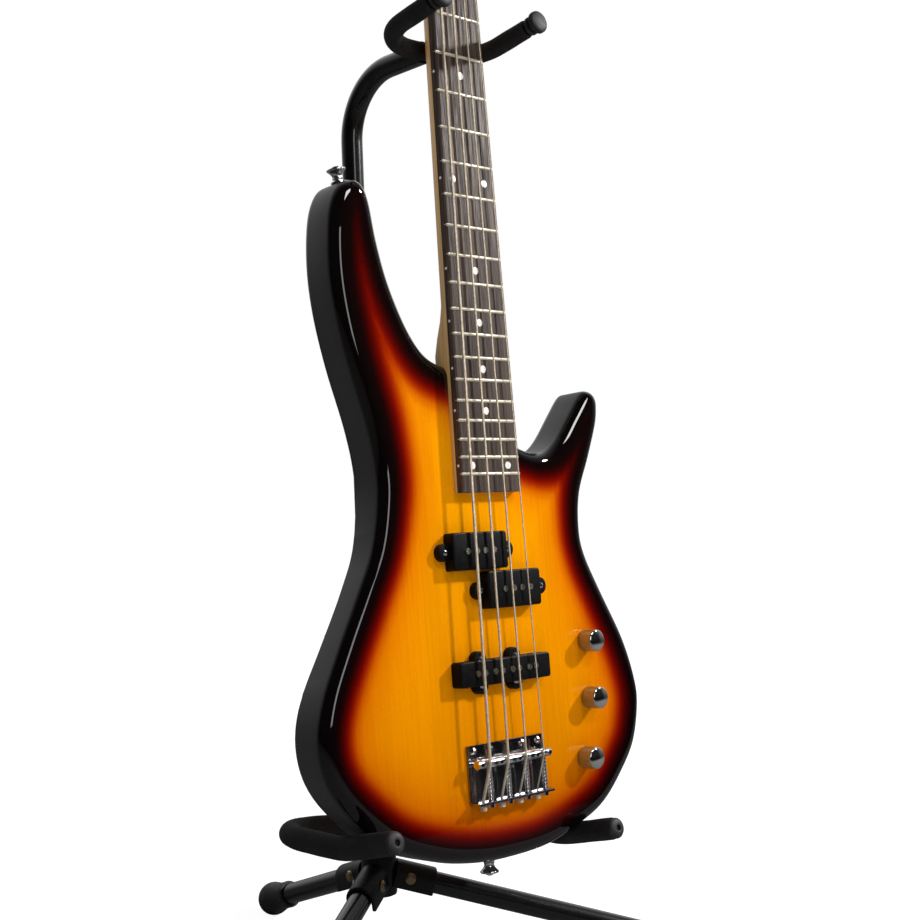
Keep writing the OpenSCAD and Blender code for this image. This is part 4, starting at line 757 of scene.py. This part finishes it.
def bridge():
    """One bent plate: the base under the saddles and the wall at its tail, with a rounded bend and broken edges."""
    end, wall, t = BRIDGE_END, WALL_Y, BRIDGE_T
    bend, edge, broken = 2.0, 0.35, 0.3
    section = [(end - edge, 0.02), (end, edge), (end, t - edge), (end - edge, t)]
    section += [(wall + t + 0.6, t), (wall + t + 0.15, t + 0.2), (wall + t, t + 0.7)]
    section += [(wall + t, WALL_H - 0.5), (wall + t - 0.5, WALL_H), (wall + 0.5, WALL_H), (wall, WALL_H - 0.5)]
    section += [(wall + bend * (1 - math.cos(a)), 0.02 + bend * (1 - math.sin(a)))
                for a in (0.0, 0.4, 0.8, 1.2, math.pi / 2)]
    half = BRIDGE_W / 2
    ends = [(-half, broken), (-half + broken, 0), (half - broken, 0), (half, broken)]
    verts = [(x, y - (inset if abs(y - end) < 1 else 0), z - (inset if z > 1 else 0))
             for x, inset in ends for y, z in section]
    faces = skin(len(ends), len(section))
    put("bridge_bent_plate", verts, faces, GUITAR, "bridge_chrome", "guitar", ["bridge_plate"], smooth=35)


# ---- stand ----
# Points round a foam sleeve, and the spacing along it in millimetres
FOAM_TURNS, FOAM_STEP = 32, 2.4
YOKE = STAND @ at(*YOKE_AT, -YOKE_RISE, "X")
CRADLE = STAND @ at(*CRADLE_AT, CRADLE_ROLL, "Y")


def spaced(points, step):
    """The same path with a point at every step, and how far along it each one lies."""
    points = np.array(points, float)
    reach = np.concatenate([[0], np.cumsum(np.linalg.norm(np.diff(points, axis=0), axis=1))])
    places = np.linspace(0, reach[-1], int(reach[-1] / step) + 1)
    return np.stack([np.interp(places, reach, points[:, k]) for k in range(3)], 1), places


def bar_path(half, bend_r, flat, rise_r=0.0, rise=0.0, end=0.0):
    """A bar's middle line from its middle to its right end: straight, bent to the front, then rising."""
    path = [(x, 0, 0) for x in np.linspace(0, half - bend_r, 8)]
    path += [(half - bend_r + bend_r * math.sin(a), bend_r * (math.cos(a) - 1), 0)
             for a in np.linspace(0, math.pi / 2, 24)[1:]]
    y = -bend_r - flat
    path.append((half, y, 0))
    if rise_r:
        path += [(half, y - rise_r * math.sin(a), rise_r * (1 - math.cos(a)))
                 for a in np.linspace(0, math.radians(rise), 8)[1:]]
        x, y, z = path[-1]
        path.append((half, y - end * math.cos(math.radians(rise)), z + end * math.sin(math.radians(rise))))
    return path


# The foam keeps this far inside its solid, apart from its waves, and draws in at its ends over a short tip
FOAM_INSET, FOAM_WAVES, FOAM_DRAWN_IN, FOAM_TIP = 0.15, 0.8, 0.9, 3.0


def foam_run(points, reach, radius, rod, seed):
    """One length of sleeve: slightly uneven, and drawn in at its two ends."""
    outer = []
    for s in reach:
        wave = 0.10 * math.sin(s / 9.0 + seed) + 0.08 * math.sin(s / 4.3 + 2 * seed) + 0.12 * math.sin(s / 31.0)
        tip = min(s - reach[0], reach[-1] - s)
        drawn = FOAM_DRAWN_IN * (1 - tip / FOAM_TIP) ** 2 if tip < FOAM_TIP else 0
        outer.append(radius - FOAM_INSET + wave * FOAM_WAVES - drawn)
    shell_verts, shell_faces = tube(points, outer, FOAM_TURNS)
    bore_verts, bore_faces = tube(points, [rod + 0.05] * len(points), FOAM_TURNS)
    n, m = len(shell_verts), FOAM_TURNS
    faces = shell_faces[:-2] + [tuple(n + i for i in reversed(f)) for f in bore_faces[:-2]]
    for ring, flip in ((0, True), (len(points) - 1, False)):
        for k in range(m):
            a, b = ring * m + k, ring * m + (k + 1) % m
            quad = (a, b, n + b, n + a)
            faces.append(tuple(reversed(quad)) if flip else quad)
    return shell_verts + bore_verts, faces


def foam_sleeve(name, half_path, radius, rod, place, body, node, seed, gap=None):
    """A foam sleeve over a bent bar, left off between the two places along x that gap gives."""
    full = [(-x, y, z) for x, y, z in reversed(half_path)] + list(half_path[1:])
    points, reach = spaced(full, FOAM_STEP)
    parts = [np.full(len(points), True)] if gap is None else [points[:, 0] < gap[0], points[:, 0] > gap[1]]
    runs = [foam_run(points[part], reach[part], radius, rod, seed) for part in parts]
    piece = put(name, *joined(runs), place, "foam", body, [node], smooth=50)


def caps(name, half_path, profile, extra, place, body, node):
    """A turned cap at each end of a bent bar, standing off by extra."""
    end = Vector(half_path[-1])
    along = (end - Vector(half_path[-2])).normalized()
    tip = end + along * extra
    shapes = []
    for side in (-1, 1):
        turned = Vector((side * along.x, along.y, along.z)).to_track_quat("Z", "Y").to_matrix().to_4x4()
        shapes.append(moved(lathe(profile, 48), Matrix.Translation((side * tip.x, tip.y, tip.z)) @ turned))
    put(name, *joined(shapes), place, "black_rubber", body, [node], smooth=35)


def soft_stand():
    """The foam and the rubber end caps of the yoke and the cradle."""
    yoke = bar_path(YOKE_HALF_W, YOKE_BEND_R, YOKE_ARM)
    cradle = bar_path(CRADLE_HALF_W, CRADLE_BEND_R, CRADLE_FLAT, CRADLE_RISE_R, CRADLE_RISE, CRADLE_END)
    foam_sleeve("yoke_foam_sleeve", yoke, YOKE_FOAM_R, YOKE_ROD_R, YOKE, "upper_post", "yoke_foam", 1.3)
    block = (-CRADLE_AT[0] - CRADLE_BLOCK_HALF, -CRADLE_AT[0] + CRADLE_BLOCK_HALF)
    foam_sleeve("cradle_foam_sleeve", cradle, CRADLE_FOAM_R, CRADLE_ROD_R, CRADLE, "stand", "cradle_foam", 4.1, block)
    r = YOKE_FOAM_R
    yoke_cap = [(0, 0), (r - 2, 0), (r - 2, 0.8), (r - 0.6, 1.1), (r - 0.2, 1.6), (r - 0.2, 3.6), (r - 0.6, 4.1)]
    yoke_cap += [(r - 2.4, 4.5), (r - 2.8, 5.0), (r - 2.8, 6.6), (r - 2.2, 7.1)]
    yoke_cap += [(r + 0.7, 7.5), (r + 1.25, 8), (r + 1.4, 8.7), (r + 1.35, 10.2), (r + 1.1, 11.2), (r + 0.3, 12)]
    yoke_cap += [(r - 1.2, 12.6), (r - 4, 13.2), (0, 13.4)]
    caps("yoke_end_caps", yoke, yoke_cap, CAP_GAP, YOKE, "upper_post", "yoke_caps")
    r = CRADLE_FOAM_R
    cradle_cap = [(0, 0), (r - 0.9, 0), (r - 0.7, 0.4), (r - 0.65, 1.4), (r - 1.0, 2.3), (r - 1.8, 3.2)]
    cradle_cap += [(r - 2.9, 3.8), (r / 2, 4.2), (2.7, 4.4), (2.4, 4.25), (2.25, 3.8), (2.2, 2), (0, 2)]
    caps("cradle_end_caps", cradle, cradle_cap, 0, CRADLE, "stand", "cradle_caps")


def leg_frame(side):
    """A leg's frame: x along the leg from its pivot, y level."""
    return STAND @ at(0, 0, 0, LEG_ANGLES[side]) @ at(PIVOT_R, 0, 0, LEG_DROP, "Y")


def feet():
    """Rubber feet: a sleeve that swells into a ball, flat where it stands on the floor."""
    along = Matrix.Rotation(math.pi / 2, 4, "Y")
    sleeve = [(LEG_D / 2 + 0.1, 1.5), (LEG_D / 2 + 0.2, 0), (10.9, 0), (11.45, 0.4), (11.6, 1.2), (11.5, 4)]
    sleeve += [(11.5, 9), (11.9, 13), (12.7, 17), (13.6, 20.5), (14.3, 23.5)]
    ball = [(FOOT_R * math.cos(a), FOOT_SLEEVE + FOOT_R * math.sin(a))
            for a in np.linspace(0, math.pi / 2, 14)[:-1]]
    shape = lathe(sleeve + ball + [(0, FOOT_SLEEVE + FOOT_R)], 64)
    for side in LEG_ANGLES:
        place = leg_frame(side)
        ahead = (place.to_3x3() @ RIGHT).normalized()
        reach = (place.translation.z / MM - FOOT_R + FOOT_FLAT) / -ahead.z
        verts, faces = moved(shape, place @ at(reach - FOOT_SLEEVE, 0, 0) @ along)
        verts = [(v.x, v.y, max(v.z, 0.0)) for v in verts]
        put(f"foot_{side}_bulb", verts, faces, Matrix.Identity(4), "black_rubber", f"leg_{side}_body",
            [f"foot_{side}"])


def channel(outer, inner, low, start, end):
    """An upside-down U, open below, drawn along x, its far end's edges broken."""
    turns = 20
    rings = [(start, 0.0), (end - 1.2, 0.0), (end - 0.5, 0.2), (end - 0.1, 0.6), (end, 1.1)]
    verts = []
    for x, e in rings:
        over = [math.pi * k / turns for k in range(turns + 1)]
        loop = [(outer - e, low + e)] + [((outer - e) * math.cos(a), (outer - e) * math.sin(a)) for a in over]
        loop += [(e - outer, low + e), (-inner - e / 3, low + e)]
        loop += [((inner + e / 3) * math.cos(a), (inner + e / 3) * math.sin(a)) for a in reversed(over)]
        loop += [(inner + e / 3, low + e)]
        verts += [(x, y, z) for y, z in loop]
    return verts, skin(len(rings), len(loop))


def hub():
    """The moulded hub: three sockets about a core that the post stands in."""
    r, low, top = HUB_R, HUB_LOW, HUB_TOP
    core = [(0, low), (r - 2, low), (r - 0.6, low + 0.6), (r, low + 2)]
    core += [(r, top - 1.5), (r - 0.4, top - 0.4), (r - 1.2, top), (TUBE_R, top)]
    shapes = [moved(lathe(core, 64), STAND)]
    socket = channel(BRACKET_OUT, BRACKET_IN, -LEG_D / 2 - 0.5, BRACKET_START, BRACKET_END)
    shapes += [moved(socket, leg_frame(side)) for side in LEG_ANGLES]
    put("hub_moulded", *joined(shapes), Matrix.Identity(4), "hub_black", "stand", ["hub"], smooth=50)


# ---- camera, light and floor ----
# The camera's place in metres from the saddles, and its angles in degrees
CAMERA_FROM_SADDLE = Vector((-0.76995, -0.76754, 0.29477))
CAMERA_TURN, CAMERA_DIP, CAMERA_ROLL = 42.47, 3.715, 3.124
CAMERA_FOV = 35.17


def camera():
    turn, dip, roll = (math.radians(a) for a in (CAMERA_TURN, CAMERA_DIP, CAMERA_ROLL))
    ahead = Vector((math.sin(turn) * math.cos(dip), math.cos(turn) * math.cos(dip), -math.sin(dip)))
    level = ahead.cross(UP).normalized()
    above = level.cross(ahead)
    right = level * math.cos(roll) + above * math.sin(roll)
    up = above * math.cos(roll) - level * math.sin(roll)
    made = bpy.data.cameras.new("camera")
    made.lens_unit = "FOV"
    made.angle = math.radians(CAMERA_FOV)
    made.clip_start = 0.01
    holder = bpy.data.objects.new("camera", made)
    turned = Matrix((right, up, -ahead)).transposed().to_4x4()
    holder.matrix_world = Matrix.Translation(SADDLE + CAMERA_FROM_SADDLE) @ turned
    bpy.context.scene.collection.objects.link(holder)
    bpy.context.scene.camera = holder


def softbox(name, place, target, size, power):
    """A rectangular lamp that looks at a target."""
    data = bpy.data.lights.new(name, "AREA")
    data.shape = "RECTANGLE"
    data.size, data.size_y = size
    data.energy = power
    holder = bpy.data.objects.new(name, data)
    holder.location = place
    holder.rotation_euler = (Vector(target) - Vector(place)).to_track_quat("-Z", "Y").to_euler()
    bpy.context.scene.collection.objects.link(holder)


def grey(level):
    return (level, level, level, 1)


FLOOR_R, FLOOR_SIDES = 6.0, 96
# The floor's colour in the object's light, its share of shadow and of glow to the camera, and its colour in mirrors
FLOOR_PALE, FLOOR_SHADOWED, FLOOR_GLOW, FLOOR_MIRRORED = 0.86, 0.25, 0.92, 0.16


def floor():
    """A pale floor that shows white to the camera, keeps the object's shadow and looks dim in mirrors."""
    m = Material("floor_pale", grey(FLOOR_PALE), 0.9)
    shadowed = m.node("ShaderNodeBsdfDiffuse", Color=grey(FLOOR_SHADOWED))
    glow = m.node("ShaderNodeEmission", Color=(1, 1, 1, 1), Strength=FLOOR_GLOW)
    sum_up = m.node("ShaderNodeAddShader")
    path = m.node("ShaderNodeLightPath")
    blend = m.node("ShaderNodeMixShader")
    m.link(shadowed.outputs[0], sum_up.inputs[0])
    m.link(glow.outputs[0], sum_up.inputs[1])
    dim = m.node("ShaderNodeBsdfDiffuse", Color=grey(FLOOR_MIRRORED))
    mirrored = m.node("ShaderNodeMixShader")
    m.link(path.outputs["Is Glossy Ray"], mirrored.inputs["Fac"])
    m.link(m.bsdf.outputs[0], mirrored.inputs[1])
    m.link(dim.outputs[0], mirrored.inputs[2])
    m.link(path.outputs["Is Camera Ray"], blend.inputs["Fac"])
    m.link(mirrored.outputs[0], blend.inputs[1])
    m.link(sum_up.outputs[0], blend.inputs[2])
    m.link(blend.outputs[0], m.tree.nodes["Material Output"].inputs["Surface"])
    angles = [math.tau * k / FLOOR_SIDES for k in range(FLOOR_SIDES)]
    rim = [(FLOOR_R * math.cos(a), FLOOR_R * math.sin(a), 0) for a in angles]
    mesh = bpy.data.meshes.new("floor")
    mesh.from_pydata(rim, [], [range(FLOOR_SIDES)])
    mesh.materials.append(m.data)
    piece = bpy.data.objects.new("floor", mesh)
    bpy.context.scene.collection.objects.link(piece)


# The white wall that mirrors see stands behind the object, in this direction
WALL = Vector((0.5, 0.85, 0)).normalized()
# Its brightness, from straight away from it (0) to straight at it (1)
WALL_STOPS = ((0.42, 0.02), (0.64, 0.3), (0.88, 1.0))
# The share of it that is left below the horizon, and the heights between which it fades
HORIZON_LIGHT, HORIZON_LOW, HORIZON_HIGH = 0.3, -0.02, 0.3
# What the room gives to surfaces that don't mirror
ROOM_LIGHT = 0.34


def world():
    """White to the camera. Mirrors see a white wall behind the object and a dim room in front of it."""
    made = bpy.data.worlds.new("studio")
    bpy.context.scene.world = made
    made.use_nodes = True
    tree = made.node_tree
    tree.nodes.clear()
    out = tree.nodes.new("ShaderNodeOutputWorld")
    path = tree.nodes.new("ShaderNodeLightPath")
    place = tree.nodes.new("ShaderNodeTexCoord")
    facing = tree.nodes.new("ShaderNodeVectorMath")
    facing.operation = "DOT_PRODUCT"
    facing.inputs[1].default_value = WALL
    tree.links.new(place.outputs["Generated"], facing.inputs[0])
    share = tree.nodes.new("ShaderNodeMath")
    share.operation = "MULTIPLY_ADD"
    share.inputs[1].default_value = 0.5
    share.inputs[2].default_value = 0.5
    tree.links.new(facing.outputs["Value"], share.inputs[0])
    ramp = tree.nodes.new("ShaderNodeValToRGB")
    elements = ramp.color_ramp.elements
    elements.new(WALL_STOPS[1][0])
    for element, (position, level) in zip(elements, WALL_STOPS):
        element.position = position
        element.color = grey(level)
    tree.links.new(share.outputs[0], ramp.inputs["Fac"])
    room = tree.nodes.new("ShaderNodeBackground")
    room.inputs["Color"].default_value = (1, 1, 1, 1)
    room.inputs["Strength"].default_value = ROOM_LIGHT
    mirrored = tree.nodes.new("ShaderNodeBackground")
    tree.links.new(ramp.outputs["Color"], mirrored.inputs["Color"])
    # The wall fades toward the floor, so that no mirror shows a hard horizon
    parts = tree.nodes.new("ShaderNodeSeparateXYZ")
    tree.links.new(place.outputs["Generated"], parts.inputs[0])
    rise = tree.nodes.new("ShaderNodeMapRange")
    rise.interpolation_type = "SMOOTHSTEP"
    fade = {"From Min": HORIZON_LOW, "From Max": HORIZON_HIGH, "To Min": HORIZON_LIGHT, "To Max": 1.0}
    for socket, value in fade.items():
        rise.inputs[socket].default_value = value
    tree.links.new(parts.outputs["Z"], rise.inputs["Value"])
    tree.links.new(rise.outputs[0], mirrored.inputs["Strength"])
    seen = tree.nodes.new("ShaderNodeBackground")
    seen.inputs["Color"].default_value = (1, 1, 1, 1)
    first = tree.nodes.new("ShaderNodeMixShader")
    second = tree.nodes.new("ShaderNodeMixShader")
    either = tree.nodes.new("ShaderNodeMath")
    either.operation = "MAXIMUM"
    tree.links.new(path.outputs["Is Glossy Ray"], either.inputs[0])
    tree.links.new(path.outputs["Is Transmission Ray"], either.inputs[1])
    tree.links.new(either.outputs[0], first.inputs["Fac"])
    tree.links.new(room.outputs[0], first.inputs[1])
    tree.links.new(mirrored.outputs[0], first.inputs[2])
    tree.links.new(path.outputs["Is Camera Ray"], second.inputs["Fac"])
    tree.links.new(first.outputs[0], second.inputs[1])
    tree.links.new(seen.outputs[0], second.inputs[2])
    tree.links.new(second.outputs[0], out.inputs["Surface"])


# The lamps look at a place this many metres up the body from the saddles
MIDDLE_UP = 0.2
# Lamps: place in metres from there, width and height in metres, and watts
LAMPS = {
    "key": ((1.68, -1.11, 1.31), (0.13, 0.13), 56),
    "overhead_front": ((0.18, -1.42, 1.87), (0.7, 0.5), 18),
    "front_left": ((-0.55, -1.57, 0.72), (0.35, 0.8), 4),
}


def studio():
    bpy.context.scene.view_settings.view_transform = "Standard"
    world()
    floor()
    middle = SADDLE + ALONG * MIDDLE_UP
    for name, (place, size, power) in LAMPS.items():
        softbox(name, middle + Vector(place), middle, size, power)


# ---- making ----
# CAD nodes whose finish differs from their slot's
FINISH = {"inlay_dots": "pearl", "pole_pieces": "pole", **{f"string_{letter}": "string" for letter in "eadg"}}


def dress_cad():
    """Gives every CAD node its finish."""
    for name, node in frame["nodes"].items():
        node.data.materials.clear()
        node.data.materials.append(MATERIALS[FINISH.get(name, SLOT_OF[name])])
        node.data.shade_smooth()
        node.data.set_sharp_from_angle(angle=math.radians(46))


camera()
dress_cad()
guitar_body()
fret_wire()
pickups()
knobs()
strap_pins()
bridge()
soft_stand()
feet()
hub()
studio()
